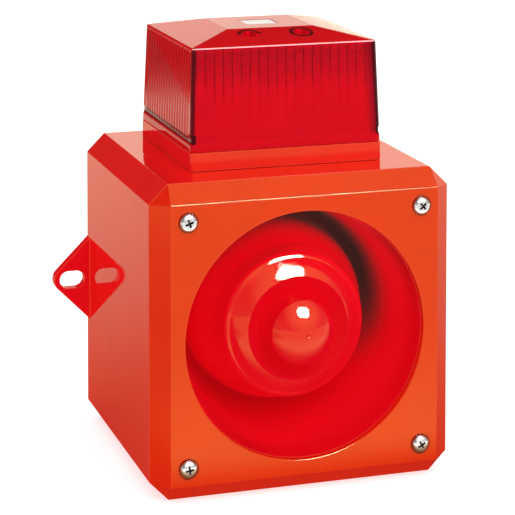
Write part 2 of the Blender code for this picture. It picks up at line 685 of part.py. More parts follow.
def driver_lead():
    lead = wire(smooth_path([(-20.0, SEAT_Y - 0.4, -46.0), (-20.0, SEAT_Y - 10.0, -46.5),
                             (-16.0, SEAT_Y - 26.0, -47.0), (-8.0, at_depth(88.0), -44.0),
                             (-3.0, at_depth(85.2), -39.0), (0.0, at_depth(85.0), -32.6)]), 1.5)
    finish(lead, "driver_lead", "driver_lead_black", angle=60)


# ============================================================ cable entries
def at_gland(x):
    """Point on the gland's axis, x outwards from the right wall's face."""
    return (HALF + x, GLAND_Y, GLAND_Z)


def gland_rod(x, radius, length, segments):
    return rod(at_gland(x), RIGHT, radius, length, segments)


def gland_hexagon(across_flats, x0, x1):
    radius = across_flats / math.sqrt(3.0)
    angles = [TAU * (k + 0.5) / 6 for k in range(6)]
    return hull([(HALF + x, GLAND_Y + radius * math.cos(a), GLAND_Z + radius * math.sin(a))
                 for a in angles for x in (x0, x1)])


def cable_gland():
    body = gland_hexagon(24.0, GAP, 5.0)
    join(body, gland_rod(-9.5, 10.0, 14.0, 20), gland_rod(4.0, 9.0, 12.0, 20))
    cut(body, gland_rod(-12, 6.5, 40.0, 18))
    finish(body, "cable_gland_body", "gland_nylon", origin=at_gland(0))

    locknut = gland_hexagon(27.0, -WALL - 5.3, -WALL - GAP)
    cut(locknut, gland_rod(-20, ENTRY_R, 30.0, 20))
    finish(locknut, "cable_gland_locknut", "locknut_nylon", origin=at_gland(-WALL))

    seal = turned([(4.0, 5.0), (6.1, 5.0), (6.1, 15.6), (4.0, 15.6)], at_gland(0), RIGHT, 18)
    finish(seal, "cable_gland_seal", "seal_rubber", origin=at_gland(5))

    nut = gland_hexagon(24.0, 5.5, 15.0)
    join(nut, turned([(0, 14.0), (11.6, 14.0), (11.6, 16.5), (9.6, 20.0), (0, 20.0)],
                     at_gland(0), RIGHT, 20))
    cut(nut, gland_rod(2.0, 9.4, 14.6, 24), gland_rod(8, 5.4, 20.0, 16))
    finish(nut, "cable_gland_nut", "gland_nut_nylon", origin=at_gland(5.5))


def blanking_plug():
    """Slotted stopper in the floor's spare entry."""
    face, shoulder, top = -HALF + 0.2, -HALF + 2.1, -71.5
    stopper = turned([(0, face), (12.8, face), (12.8, shoulder), (10.0, shoulder),
                      (10.0, top), (0, top)], (STOP_X, STOP_Y, 0), UP, 20)
    cut(stopper, box(STOP_X - 7, STOP_X + 7, STOP_Y - 1.0, STOP_Y + 1.0, -HALF - 2, -HALF + 1.6))
    finish(stopper, "blanking_plug", "blanking_red", origin=(STOP_X, STOP_Y, -HALF))


# =============================================================== beacon base
BEACON_BOARD_Z = 95.0  # underside of the beacon's board
MIRROR_Z = 97.9        # underside of the reflector
POST_X = 37.0          # board posts, from the beacon's centre
POST_Y = 17.0
TUBE_X = 8.0           # legs of the flash tube, from the centre line
COIL_AT = (30.0, BEACON_Y + 6.0)


def beacon_block(half_x, half_y, z0, z1):
    return box(-half_x, half_x, BEACON_Y - half_y, BEACON_Y + half_y, z0, z1)


def round_uprights(ob, radius):
    bm = bmesh.new()
    bm.from_mesh(ob.data)
    upright = [e for e in bm.edges if abs(e.verts[0].co.z - e.verts[1].co.z) > 1e-5]
    bmesh.ops.bevel(bm, geom=upright, offset=radius * MM, segments=3, profile=0.5,
                    affect="EDGES")
    bm.to_mesh(ob.data)
    bm.free()


def beacon_base():
    """Hollow plinth with a raised kerb, screw bosses and pinned board posts."""
    base = beacon_block(PLINTH_X, PLINTH_Y, BASE_Z0, BASE_Z1)
    round_uprights(base, 1.6)
    join(base, beacon_block(47.6, 43.6, BASE_Z1 - 1.0, 92.4))
    cut(base, beacon_block(45.4, 41.4, BASE_Z1, 96.0))
    cut(base, beacon_block(PLINTH_X - 2.5, PLINTH_Y - 2.5, BASE_Z0 - 4, BASE_Z1 - 2.5))
    post_z = BASE_Z1 - 1.0
    # Half spacing in X and Y, bottom, radius, height, segments
    bosses = [(WELL_X, WELL_Y, BASE_Z0 + 0.4, 4.6, 8.0, 10),
              (BASE_SCREW_X, BASE_SCREW_Y, BASE_Z0 + 0.4, 3.8, 8.0, 10),
              (POST_X, POST_Y, post_z, 2.6, BEACON_BOARD_Z - GAP - post_z, 8),
              (POST_X, POST_Y, post_z, 1.2, MIRROR_Z - GAP - post_z, 6)]
    holes = [(WELL_X, WELL_Y, BASE_Z0 + 1.4, 2.4, 14.0, 10),
             (BASE_SCREW_X, BASE_SCREW_Y, BASE_Z0 - 4, BASE_HOLE_R, 11.6, 8)]
    for x, y, z, radius, height, segments in bosses:
        join(base, *rods(beacon_corners(x, y, z), UP, radius, height, segments))
    for x, y, z, radius, height, segments in holes:
        cut(base, *rods(beacon_corners(x, y, z), UP, radius, height, segments))
    cut(base, rod((0.0, LEAD_HOLE_Y, BASE_Z0 - 4), UP, 5.6, 18, 12))
    finish(base, "beacon_base", "base_red", origin=(0, BEACON_Y, BASE_Z0))
    place_screws("beacon_base_screw", BEACON_CORNERS,
                 beacon_corners(BASE_SCREW_X, BASE_SCREW_Y, HALF - WALL - GAP), DOWN,
                 "screw_steel", shank_r=1.45, length=9.8, **SMALL_HEAD)


def beacon_gasket():
    """Ring inside the lens skirt, with an upright pad in each corner."""
    ring = beacon_block(49.3, 45.3, LENS_Z0, LENS_Z0 + 1.7)
    cut(ring, beacon_block(47.9, 43.9, LENS_Z0 - 3, LENS_Z0 + 6))
    # X span, Y span, height span above the ring's underside: pad, then its foot
    pads = [(46.4, 48.7, 42.4, 44.7, 2.8, 9.5), (47.95, 49.0, 43.95, 45.0, 0.5, 4.5)]
    for _, sx, sy in BEACON_CORNERS:
        for x0, x1, y0, y1, z0, z1 in pads:
            join(ring, box(*sorted((sx * x0, sx * x1)),
                           *sorted((BEACON_Y + sy * y0, BEACON_Y + sy * y1)),
                           LENS_Z0 + z0, LENS_Z0 + z1))
    finish(ring, "beacon_gasket", "beacon_gasket_black")


# ==================================================================== lens
LENS_EDGE_Z = 142.8    # the lens's upper edge, where the roof starts
LENS_EDGE_X = 49.3
LENS_EDGE_Y = 45.6
ROOF_Z = 148.3
ROOF_X = 23.7
ROOF_Y = 20.6
LENS_WALL = 2.2
WELL_R = 6.2
WELL_BORE = 4.2
WELL_FLOOR = 93.2


def lens_block(shrink, z_base, z_edge, z_top):
    """Tapering cap with a hipped roof, its half widths reduced by shrink."""
    levels = ((PLINTH_X, PLINTH_Y, z_base), (LENS_EDGE_X, LENS_EDGE_Y, z_edge),
              (ROOF_X, ROOF_Y, z_top))
    return hull([(sx * (half_x - shrink), BEACON_Y + sy * (half_y - shrink), z)
                 for half_x, half_y, z in levels for sx in (-1, 1) for sy in (-1, 1)])


def lens_well(sx, sy):
    """Screw well that ends just under the sloping roof."""
    slope = (ROOF_Z - LENS_EDGE_Z) / (LENS_EDGE_Y - ROOF_Y)
    points = []
    for k in range(16):
        x = sx * WELL_X + WELL_R * math.cos(TAU * k / 16)
        y = sy * WELL_Y + WELL_R * math.sin(TAU * k / 16)
        roof = ROOF_Z - (abs(y) - ROOF_Y) * slope
        points += [(x, BEACON_Y + y, 90.2), (x, BEACON_Y + y, roof - 0.9)]
    return hull(points)


def beacon_lens():
    lens = lens_block(0.0, LENS_Z0, LENS_EDGE_Z, ROOF_Z)
    cut(lens, lens_block(LENS_WALL, LENS_Z0 - 0.01, LENS_EDGE_Z - 1.9, ROOF_Z - 2.3))
    for _, sx, sy in BEACON_CORNERS:
        join(lens, lens_well(sx, sy))
    cut(lens, *rods(beacon_corners(WELL_X, WELL_Y, WELL_FLOOR), UP, WELL_BORE, 70, 14))
    cut(lens, *rods(beacon_corners(WELL_X, WELL_Y, 85.0), UP, 2.4, 20, 10))
    cut(lens, beacon_block(8.8, 7.8, ROOF_Z - 0.9, ROOF_Z + 3))      # label recess
    finish(lens, "beacon_lens", "lens_red", origin=(0, BEACON_Y, LENS_Z0))

    label = beacon_block(8.4, 7.4, ROOF_Z - 0.6, ROOF_Z - 0.15)
    finish(label, "roof_label_blank", "label_white")
    place_screws("lens_screw", BEACON_CORNERS, beacon_corners(WELL_X, WELL_Y, WELL_FLOOR + GAP),
                 UP, "screw_zinc", head_r=3.7, head_h=2.6, shank_r=2.0, length=11.0,
                 steps=10, recess="slot")


# ====================================================== beacon electronics
PARTS_Z = BEACON_BOARD_Z + BOARD_T + GAP     # parts on the beacon board start here


def beacon_board():
    board = beacon_block(42.0, 21.5, BEACON_BOARD_Z, BEACON_BOARD_Z + BOARD_T)
    cut(board, *rods(beacon_corners(POST_X, POST_Y, 90.0), UP, 1.6, 12, 8))
    finish(board, "beacon_board", "beacon_board_green")


def beacon_reflector():
    """Shallow tray with holes for the tube, wells and coil, and a capacitor opening."""
    half_x, half_y = 43.0, 39.0
    front, rear = BEACON_Y - half_y, BEACON_Y + half_y
    mirror = beacon_block(half_x, half_y, MIRROR_Z, MIRROR_Z + 1.0)
    for x0, x1, y0, y1 in ((-half_x, half_x, front, front + 1), (-half_x, half_x, rear - 1, rear),
                           (-half_x, 1 - half_x, front, rear), (half_x - 1, half_x, front, rear)):
        join(mirror, box(x0, x1, y0, y1, 98.0, 101.0))
    for side in (-1, 1):
        cut(mirror, rod((side * TUBE_X, BEACON_Y, 90.0), UP, 3.4, 16, 12))
    cut(mirror, *rods(beacon_corners(WELL_X, WELL_Y, 90.0), UP, 6.9, 20, 16))
    cut(mirror, rod((*COIL_AT, 90.0), UP, 4.8, 20, 12),
        box(-41.2, -26.0, BEACON_Y - 13.0, BEACON_Y + 13.0, 90.0, 99.5))
    finish(mirror, "beacon_reflector", "reflector_white", origin=(0, BEACON_Y, MIRROR_Z))


def xenon_tube():
    """Flash tube: an upright U, bend uppermost."""
    heights = (PARTS_Z, 108.0, 120.0)
    angles = [math.pi * k / 8 for k in range(1, 8)]
    path = [(-TUBE_X, BEACON_Y, z) for z in heights]
    path += [(-TUBE_X * math.cos(a), BEACON_Y, heights[-1] + TUBE_X * math.sin(a)) for a in angles]
    path += [(TUBE_X, BEACON_Y, z) for z in reversed(heights)]
    finish(wire(path, 2.6), "xenon_tube", "flash_glass", angle=60)


def trigger_coil():
    coil = turned([(0, PARTS_Z), (4.2, PARTS_Z), (4.2, 98.2), (3.4, 98.2), (3.4, 104.0),
                   (4.2, 104.0), (4.2, 105.2), (0, 105.2)], (*COIL_AT, 0), UP, 16)
    finish(coil, "trigger_coil", "coil_copper")


def storage_capacitor():
    can = rod((-34.0, BEACON_Y - 12.0, 103.4), BACK, 6.2, 24.0, 20)
    finish(can, "storage_capacitor", "storage_sleeve")


def beacon_lead():
    y = LEAD_HOLE_Y
    lead = wire(smooth_path([(0.0, SEAT_Y - 0.4, 34.0), (0.0, SEAT_Y - 6.0, 38.0),
                             (0.0, -30.0, 52.0), (0.0, y, 70.0), (0.0, y, 84.0),
                             (0.0, y - 3.5, 90.4), (0.0, y - 9.0, 92.6),
                             (0.0, BEACON_Y + 15.0, 93.2)]), 1.3)
    finish(lead, "beacon_lead", "beacon_lead_grey", angle=60)


# ------------------------------------------------- what lifts off together
def group_on_pivot(name, at, prefixes):
    """Parent every piece whose name starts with a prefix to a new empty."""
    pivot = bpy.data.objects.new(name, None)
    pivot.empty_display_size = 0.01
    pivot.location = Vector(at) * MM
    siren.objects.link(pivot)
    bpy.context.view_layer.update()
    for ob in list(siren.objects):
        # The driver's lead stays with the sounder board.
        if ob.type == "MESH" and ob.name.startswith(prefixes) and ob.name != "driver_lead":
            ob.parent = pivot
            ob.matrix_parent_inverse = pivot.matrix_world.inverted()


for build in (rear_housing, front_cover, cover_gasket, cover_screws,
              horn_flare, horn_plug, horn_screws, driver,
              sounder_board, terminal_block, tone_switch, volume_control,
              smoothing_capacitor, tone_transformer, driver_lead,
              cable_gland, blanking_plug,
              beacon_base, beacon_gasket, beacon_lens,
              beacon_board, beacon_reflector, xenon_tube, trigger_coil,
              storage_capacitor, beacon_lead):
    build()

group_on_pivot("cover_slide", FRONT_CENTRE, ("front_cover", "cover_screw", "horn_", "driver_"))
group_on_pivot("lens_slide", (0, BEACON_Y, LENS_Z0), ("beacon_lens", "lens_screw", "roof_label"))
bpy.context.view_layer.update()
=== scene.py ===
"""Looks of the alarm siren: fine shells, glossy moulded plastic, a transparent
beacon lens and a plain pale studio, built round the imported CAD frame.

Everything is in the CAD frame: metres, +Z up, the front faces -Y, the origin
is the centre of the rear mounting face. Sizes below are in millimetres.
"""
import json
import math

import bpy
import bmesh
import numpy as np
from mathutils import Matrix, Vector


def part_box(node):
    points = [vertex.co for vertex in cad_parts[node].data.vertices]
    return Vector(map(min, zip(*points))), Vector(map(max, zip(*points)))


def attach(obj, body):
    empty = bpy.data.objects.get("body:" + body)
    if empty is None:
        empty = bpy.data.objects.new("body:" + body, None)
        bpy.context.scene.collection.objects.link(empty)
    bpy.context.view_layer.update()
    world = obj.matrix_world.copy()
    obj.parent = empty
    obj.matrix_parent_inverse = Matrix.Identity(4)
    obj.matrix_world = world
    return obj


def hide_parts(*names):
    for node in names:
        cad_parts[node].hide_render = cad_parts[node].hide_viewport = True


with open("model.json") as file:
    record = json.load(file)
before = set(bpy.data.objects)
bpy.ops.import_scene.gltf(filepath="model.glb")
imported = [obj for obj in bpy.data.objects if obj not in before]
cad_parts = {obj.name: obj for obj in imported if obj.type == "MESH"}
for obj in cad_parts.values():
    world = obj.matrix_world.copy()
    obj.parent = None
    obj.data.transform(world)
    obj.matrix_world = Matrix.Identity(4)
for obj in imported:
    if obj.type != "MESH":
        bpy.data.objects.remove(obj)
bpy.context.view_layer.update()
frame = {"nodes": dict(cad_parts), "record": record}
NODES = frame["nodes"]
scene = bpy.context.scene
MM = 0.001
TAU = 2.0 * math.pi
rad = math.radians

# ------------------------------------------------- places taken from the frame
cover_lo, cover_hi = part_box("front_cover")
HALF = round(cover_hi.x * 1000, 3)
FRONT = round(cover_lo.y * 1000, 3)          # Y of the cover's front plane
lens_lo, lens_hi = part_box("beacon_lens")
base_lo, base_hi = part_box("beacon_base")
house_lo, house_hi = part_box("rear_housing")
BY = round((base_lo.y + base_hi.y) * 500, 3)  # centre line of the beacon
PLX = round((base_hi.x - base_lo.x) * 500, 3)
PLY = round((base_hi.y - base_lo.y) * 500, 3)
BASE_Z0 = round(base_lo.z * 1000, 3)
LENS_Z0 = round(lens_lo.z * 1000, 3)
ROOF_Z = round(lens_hi.z * 1000, 3)
LUG_X = round(house_hi.x * 1000, 3)
FLOOR_Z = house_lo.z - 0.0001

EDGE_CUT = 9.75
WALL = 3.5
REAR_WALL = 4.0
FLAT = 71.1
BEVEL_DEPTH = 8.8
COVER_PLATE = 3.2
RIM_DEPTH = 9.6
SCREW_AT = 62.1
HORN_R = 63.5
BASE_Z1 = 89.6
LENS_EDGE_Z = 142.8
LENS_EDGE_X = 50.3
LENS_EDGE_Y = 45.6
ROOF_X = 23.7
ROOF_Y = 20.6
LENS_WALL = 2.2
WELL_X, WELL_Y, WELL_R, WELL_BORE = 14.2, 29.0, 6.2, 4.2
LUG_ROOT, LUG_T = 23.0, 6.0
SLOT_LEN, SLOT_W, SLOT_AT = 14.0, 9.6, 90.0
BOARD_D, BOARD_T = 126.5, 1.6
GAP = 0.3
CORNERS = [("upper_left", -1, 1), ("upper_right", 1, 1), ("lower_left", -1, -1), ("lower_right", 1, -1)]


def Y(depth):
    return depth + FRONT


# ------------------------------------------------------------- mesh helpers
def to_object(bm, name="piece"):
    bmesh.ops.recalc_face_normals(bm, faces=bm.faces[:])
    me = bpy.data.meshes.new(name)
    bm.to_mesh(me)
    bm.free()
    ob = bpy.data.objects.new(name, me)
    scene.collection.objects.link(ob)
    return ob


def bake(ob):
    bpy.context.view_layer.update()
    dg = bpy.context.evaluated_depsgraph_get()
    me = bpy.data.meshes.new_from_object(ob.evaluated_get(dg))
    ob.modifiers.clear()
    ob.data = me
    return ob


def box(x0, x1, y0, y1, z0, z1, edge=0.0, segs=2):
    bm = bmesh.new()
    bmesh.ops.create_cube(bm, size=1.0)
    bmesh.ops.scale(bm, vec=((x1 - x0) * MM, (y1 - y0) * MM, (z1 - z0) * MM), verts=bm.verts)
    bmesh.ops.translate(bm, vec=((x0 + x1) / 2 * MM, (y0 + y1) / 2 * MM, (z0 + z1) / 2 * MM), verts=bm.verts)
    if edge:
        bmesh.ops.bevel(bm, geom=bm.edges[:], offset=edge * MM, segments=segs, profile=0.5, affect="EDGES")
    return to_object(bm)


def along(axis):
    return Vector((0, 0, 1)).rotation_difference(Vector(axis)).to_matrix().to_4x4()


def rod(p, axis, r, length, segments=32, r_end=None):
    bm = bmesh.new()
    bmesh.ops.create_cone(bm, cap_ends=True, segments=segments, radius1=r * MM,
                          radius2=(r if r_end is None else r_end) * MM, depth=length * MM)
    bmesh.ops.translate(bm, vec=(0, 0, length / 2 * MM), verts=bm.verts)
    bmesh.ops.transform(bm, matrix=Matrix.Translation(Vector(p) * MM) @ along(axis), verts=bm.verts)
    return to_object(bm)


def round_edges(ob, width, segs=3, angle=15.0, keep=None):
    """Rounds every edge sharper than angle; keep(edge) can leave some out."""
    bm = bmesh.new()
    bm.from_mesh(ob.data)
    bmesh.ops.remove_doubles(bm, verts=bm.verts[:], dist=1e-6)
    bmesh.ops.dissolve_limit(bm, angle_limit=rad(0.5), verts=bm.verts[:], edges=bm.edges[:])
    edges = [e for e in bm.edges if len(e.link_faces) == 2 and e.calc_face_angle(0.0) > rad(angle)
             and (keep is None or keep(e))]
    bmesh.ops.bevel(bm, geom=edges, offset=width * MM, segments=segs, profile=0.5, affect="EDGES", clamp_overlap=True)
    bmesh.ops.recalc_face_normals(bm, faces=bm.faces[:])
    bm.to_mesh(ob.data)
    bm.free()
    return ob


def hull(points, edge=0.0, segs=3, keep=None):
    bm = bmesh.new()
    for p in points:
        bm.verts.new(Vector(p) * MM)
    out = bmesh.ops.convex_hull(bm, input=bm.verts[:])
    loose = [e for e in out["geom_interior"] if isinstance(e, bmesh.types.BMVert)]
    if loose:
        bmesh.ops.delete(bm, geom=loose, context="VERTS")
    bmesh.ops.dissolve_limit(bm, angle_limit=rad(0.5), verts=bm.verts[:], edges=bm.edges[:])
    ob = to_object(bm)
    return round_edges(ob, edge, segs, keep=keep) if edge else ob


def turned(profile, p, axis, steps=64):
    me = bpy.data.meshes.new("profile")
    n = len(profile)
    on_axis = abs(profile[0][0]) < 1e-9 and abs(profile[-1][0]) < 1e-9
    edges = [(i, i + 1) for i in range(n - 1)] + ([] if on_axis else [(n - 1, 0)])
    me.from_pydata([(r * MM, 0.0, h * MM) for r, h in profile], edges, [])
    ob = bpy.data.objects.new("turned", me)
    scene.collection.objects.link(ob)
    m = ob.modifiers.new("turn", "SCREW")
    m.axis = "Z"
    m.angle = TAU
    m.steps = steps
    m.render_steps = steps
    m.use_merge_vertices = True
    m.merge_threshold = 0.000002
    bake(ob)
    bm = bmesh.new()
    bm.from_mesh(ob.data)
    bmesh.ops.transform(bm, matrix=Matrix.Translation(Vector(p) * MM) @ along(axis), verts=bm.verts)
    bmesh.ops.recalc_face_normals(bm, faces=bm.faces[:])
    if bm.calc_volume(signed=True) < 0:
        bmesh.ops.reverse_faces(bm, faces=bm.faces[:])
    bm.to_mesh(ob.data)
    bm.free()
    return ob


def merge(obs):
    """Several closed shells as one mesh."""
    bm = bmesh.new()
    for o in obs:
        o.data.transform(o.matrix_world)
        bm.from_mesh(o.data)
        bpy.data.objects.remove(o, do_unlink=True)
    me = bpy.data.meshes.new("tools")
    bm.to_mesh(me)
    bm.free()
    ob = bpy.data.objects.new("tools", me)
    scene.collection.objects.link(ob)
    return ob


def boolean(ob, others, how):
    tool = merge(others) if len(others) > 1 else others[0]
    m = ob.modifiers.new(how.lower(), "BOOLEAN")
    m.operation = how
    m.solver = "EXACT"
    m.object = tool
    bake(ob)
    bpy.data.objects.remove(tool, do_unlink=True)
    return ob


def cut(ob, *others):
    return boolean(ob, list(others), "DIFFERENCE")


def join(ob, *others):
    return boolean(ob, list(others), "UNION")


def arc(cx, cy, r, a0, a1, n):
    return [(cx + r * math.cos(rad(a0 + (a1 - a0) * k / n)), cy + r * math.sin(rad(a0 + (a1 - a0) * k / n)))
            for k in range(n + 1)]


def smooth(points, per=3):
    """Catmull-Rom through (radius, depth) guide points, ends kept."""
    pts = [Vector(p).to_3d() for p in points]
    pts = [2 * pts[0] - pts[1]] + pts + [2 * pts[-1] - pts[-2]]
    out = []
    for i in range(1, len(pts) - 2):
        a, b, c, d = pts[i - 1:i + 3]
        for k in range(per):
            t = k / per
            q = 0.5 * ((2 * b) + (c - a) * t + (2 * a - 5 * b + 4 * c - d) * t * t + (3 * b - a - 3 * c + d) * t ** 3)
            out.append((q.x, q.y))
    out.append((pts[-2].x, pts[-2].y))
    return out


def octagon(half, cut_):
    h, k = half, half - cut_
    return [(h, -k), (h, k), (k, h), (-k, h), (-h, k), (-h, -k), (-k, -h), (k, -h)]


def prism_y(outline, y0, y1, edge=0.0, segs=3, keep=None):
    return hull([(x, y, z) for x, z in outline for y in (y0, y1)], edge, segs, keep)


PIECES = []


def finish(ob, name, body, slot_name, mat, *nodes, angle=28.0):
    """Names a finished piece, welds it, shades it, hides the CAD nodes it stands for and parents it to its body."""
    bm = bmesh.new()
    bm.from_mesh(ob.data)
    bmesh.ops.remove_doubles(bm, verts=bm.verts[:], dist=0.0000008)
    bmesh.ops.dissolve_degenerate(bm, edges=bm.edges[:], dist=0.0000005)
    bm.to_mesh(ob.data)
    bm.free()
    ob.name = name
    ob.data.name = name
    ob.data.materials.clear()
    ob.data.materials.append(mat)
    ob.data.shade_smooth()
    ob.data.set_sharp_from_angle(angle=rad(angle))
    m = ob.modifiers.new("flat", "WEIGHTED_NORMAL")
    m.mode = "FACE_AREA"
    m.weight = 50
    m.keep_sharp = True
    bake(ob)
    ob.data.name = name
    if nodes:
        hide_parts(*nodes)
    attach(ob, body)
    PIECES.append(ob)
    return ob


# ================================================================ materials
class Mat:
    """Small helper for building node materials."""

    def __init__(self, name):
        self.m = bpy.data.materials.new(name)
        self.m.use_nodes = True
        self.t = self.m.node_tree
        self.b = self.t.nodes["Principled BSDF"]
        self.out = self.t.nodes["Material Output"]
        self.co = self.t.nodes.new("ShaderNodeTexCoord").outputs["Object"]

    def node(self, kind, **kw):
        n = self.t.nodes.new(kind)
        for k, v in kw.items():
            setattr(n, k, v)
        return n

    def link(self, a, b):
        self.t.links.new(a, b)

    def set(self, **kw):
        for k, v in kw.items():
            self.b.inputs[k.replace("_", " ")].default_value = v

    def noise(self, scale, detail=2.0, rough=0.5, stretch=None, distortion=0.0):
        n = self.node("ShaderNodeTexNoise")
        n.inputs["Scale"].default_value = scale
        n.inputs["Detail"].default_value = detail
        n.inputs["Roughness"].default_value = rough
        n.inputs["Distortion"].default_value = distortion
        if stretch:
            mp = self.node("ShaderNodeMapping")
            mp.inputs["Scale"].default_value = stretch
            self.link(self.co, mp.inputs["Vector"])
            self.link(mp.outputs["Vector"], n.inputs["Vector"])
        else:
            self.link(self.co, n.inputs["Vector"])
        return n.outputs["Fac"]

    def ramp(self, fac, lo, hi, a=0.3, b=0.7):
        n = self.node("ShaderNodeMapRange")
        n.inputs["From Min"].default_value = a
        n.inputs["From Max"].default_value = b
        n.inputs["To Min"].default_value = lo
        n.inputs["To Max"].default_value = hi
        self.link(fac, n.inputs["Value"])
        return n.outputs["Result"]

    def mix(self, fac, a, b, blend="MIX"):
        n = self.node("ShaderNodeMix", data_type="RGBA", blend_type=blend)
        for sock, v in ((n.inputs[0], fac), (n.inputs[6], a), (n.inputs[7], b)):
            if isinstance(v, bpy.types.NodeSocket):
                self.link(v, sock)
            elif isinstance(v, (int, float)):
                sock.default_value = v
            else:
                sock.default_value = (*v, 1.0) if len(v) == 3 else v
        return n.outputs[2]

    def bump(self, height, dist, strength=1.0, prev=None):
        n = self.node("ShaderNodeBump")
        n.inputs["Strength"].default_value = strength
        n.inputs["Distance"].default_value = dist
        self.link(height, n.inputs["Height"])
        if prev is not None:
            self.link(prev, n.inputs["Normal"])
        return n.outputs["Normal"]


def moulded(name, rgb, rough=(0.12, 0.18), tint=(1.0, 0.64, 0.18), level=1.0, peel=0.000008, wave=0.00002,
            grain=0.03, horn=False, edges=False, streaks=False):
    """Glossy moulded plastic: faint orange peel, shallow sink waves, slightly uneven gloss and colour."""
    k = Mat(name)
    fine = k.noise(750.0, 2.0, 0.55)
    broad = k.noise(38.0, 2.0, 0.5)
    speck = k.noise(2600.0, 1.0, 0.5)
    n1 = k.bump(broad, wave * 8)
    n2 = k.bump(fine, peel * 6, 1.0, n1)
    n3 = k.bump(speck, 0.000003, 1.0, n2)
    k.link(n3, k.b.inputs["Normal"])
    k.link(k.ramp(k.noise(55.0, 3.0, 0.6), rough[0], rough[1]), k.b.inputs["Roughness"])
    dark = tuple(c * (1.0 - grain * 2) for c in rgb)
    lite = tuple(min(1.0, c * (1.0 + grain)) for c in rgb)
    c1 = k.mix(k.ramp(k.noise(24.0, 3.0, 0.6), 0.0, 1.0), dark, lite)
    c2 = k.mix(k.ramp(speck, 0.0, 0.5, 0.55, 0.75), c1, tuple(min(1.0, c * 1.12 + 0.004) for c in rgb))
    if horn:
        # deep in the gap behind the bell: painted shade at the upper right, and painted light as an
        # emitted warm glow over the horn deeper than about 7 mm, stronger towards the upper right
        sp = k.node("ShaderNodeSeparateXYZ")
        k.link(k.co, sp.inputs[0])

        def soft(v, lo, hi):
            n = k.node("ShaderNodeMapRange", interpolation_type="SMOOTHSTEP")
            n.inputs["From Min"].default_value = lo
            n.inputs["From Max"].default_value = hi
            k.link(v, n.inputs["Value"])
            return n.outputs["Result"]

        def mth(op, a, b):
            n = k.node("ShaderNodeMath", operation=op)
            for sock, v in zip(n.inputs, (a, b)):
                if isinstance(v, bpy.types.NodeSocket):
                    k.link(v, sock)
                else:
                    sock.default_value = v
            return n.outputs[0]
        deep = soft(sp.outputs[1], Y(34.0) * MM, Y(62.0) * MM)
        across = mth("ADD", mth("MULTIPLY", sp.outputs[0], 0.5), mth("MULTIPLY", sp.outputs[2], 0.866))
        dark = mth("MULTIPLY", mth("MULTIPLY", deep, soft(across, -0.012, 0.034)), 0.97)
        # painted shade: the deep gap at the upper right darkened towards black
        c2 = k.mix(dark, c2, (0.060, 0.020, 0.016))
        level_ = mth("ADD", mth("ADD", mth("MULTIPLY", soft(across, -0.03, 0.0), 0.035), 0.125),
                     mth("MULTIPLY", soft(across, 0.01, 0.075), 0.17))
        # painted light: the horn glows though no lamp shines there
        glow = mth("MULTIPLY", mth("MULTIPLY", soft(sp.outputs[1], Y(7.0) * MM, Y(28.0) * MM), level_),
                   mth("SUBTRACT", 1.0, dark))
        glow = mth("ADD", glow, mth("MULTIPLY", dark, 0.12))
        k.link(glow, k.b.inputs["Emission Strength"])
        k.link(k.mix(dark, (0.80, 0.008, 0.020), (0.11, 0.085, 0.075)), k.b.inputs["Emission Color"])
    k.link(c2, k.b.inputs["Base Color"])
    if streaks:
        # faint drawn-out flow marks down the walls
        st = k.ramp(k.noise(420.0, 3.0, 0.6, stretch=(1.0, 1.0, 0.10)), 0.0, 0.45, 0.42, 0.78)
        c2 = k.mix(st, c2, tuple(min(1.0, c * 1.05 + 0.012) for c in rgb))
        # painted shade: the lugs get a deeper red and almost no reflection, a darker copy of the housing plastic
        sp = k.node("ShaderNodeSeparateXYZ")
        k.link(k.co, sp.inputs[0])
        ab = k.node("ShaderNodeMath", operation="ABSOLUTE")
        k.link(sp.outputs[0], ab.inputs[0])
        lug_shade = k.ramp(ab.outputs[0], 0.0, 1.0, (HALF + 0.15) * MM, (HALF + 0.5) * MM)
        c2 = k.mix(lug_shade, c2, (0.84, 0.004, 0.013))
        k.link(k.ramp(lug_shade, level, 0.12), k.b.inputs["Specular IOR Level"])
        k.link(c2, k.b.inputs["Base Color"])
    if edges:
        # painted highlight: edges and corners turned paler orange, as if catching the light
        bv = k.node("ShaderNodeBevel", samples=4)
        bv.inputs["Radius"].default_value = 0.00045
        g = k.node("ShaderNodeNewGeometry")
        dt = k.node("ShaderNodeVectorMath", operation="DOT_PRODUCT")
        k.link(bv.outputs[0], dt.inputs[0])
        k.link(g.outputs["True Normal"], dt.inputs[1])
        edge_glint = k.ramp(dt.outputs["Value"], 0.75, 0.0, 0.90, 0.995)
        c2 = k.mix(edge_glint, c2, (0.98, 0.17, 0.08))
        k.link(c2, k.b.inputs["Base Color"])
    if not streaks:
        k.set(Specular_IOR_Level=level)
    k.set(Specular_Tint=(*tint, 1.0), IOR=1.46)
    k.m.diffuse_color = (*rgb, 1.0)
    return k.m


def metal(name, rgb, rough=(0.16, 0.3), scale=1400.0, brushed=None, scuff=0.25):
    k = Mat(name)
    n = k.noise(scale, 3.0, 0.6, stretch=brushed)
    k.link(k.ramp(n, rough[0], rough[1]), k.b.inputs["Roughness"])
    k.link(k.bump(n, 0.00001), k.b.inputs["Normal"])
    k.link(k.mix(k.ramp(k.noise(160.0, 4.0, 0.65), 0.0, scuff), rgb, tuple(c * 0.62 for c in rgb)),
           k.b.inputs["Base Color"])
    k.set(Metallic=1.0)
    return k.m


def dull(name, rgb, rough=(0.4, 0.55), scale=900.0, depth=0.00003, grain=0.08, level=0.5):
    k = Mat(name)
    n = k.noise(scale, 3.0, 0.6)
    k.link(k.ramp(n, rough[0], rough[1]), k.b.inputs["Roughness"])
    k.link(k.bump(n, depth), k.b.inputs["Normal"])
    k.link(k.mix(k.ramp(k.noise(90.0, 3.0, 0.6), 0.0, 1.0), tuple(c * (1 - grain) for c in rgb),
                 tuple(min(1.0, c * (1 + grain)) for c in rgb)), k.b.inputs["Base Color"])
    k.set(Specular_IOR_Level=level)
    return k.m


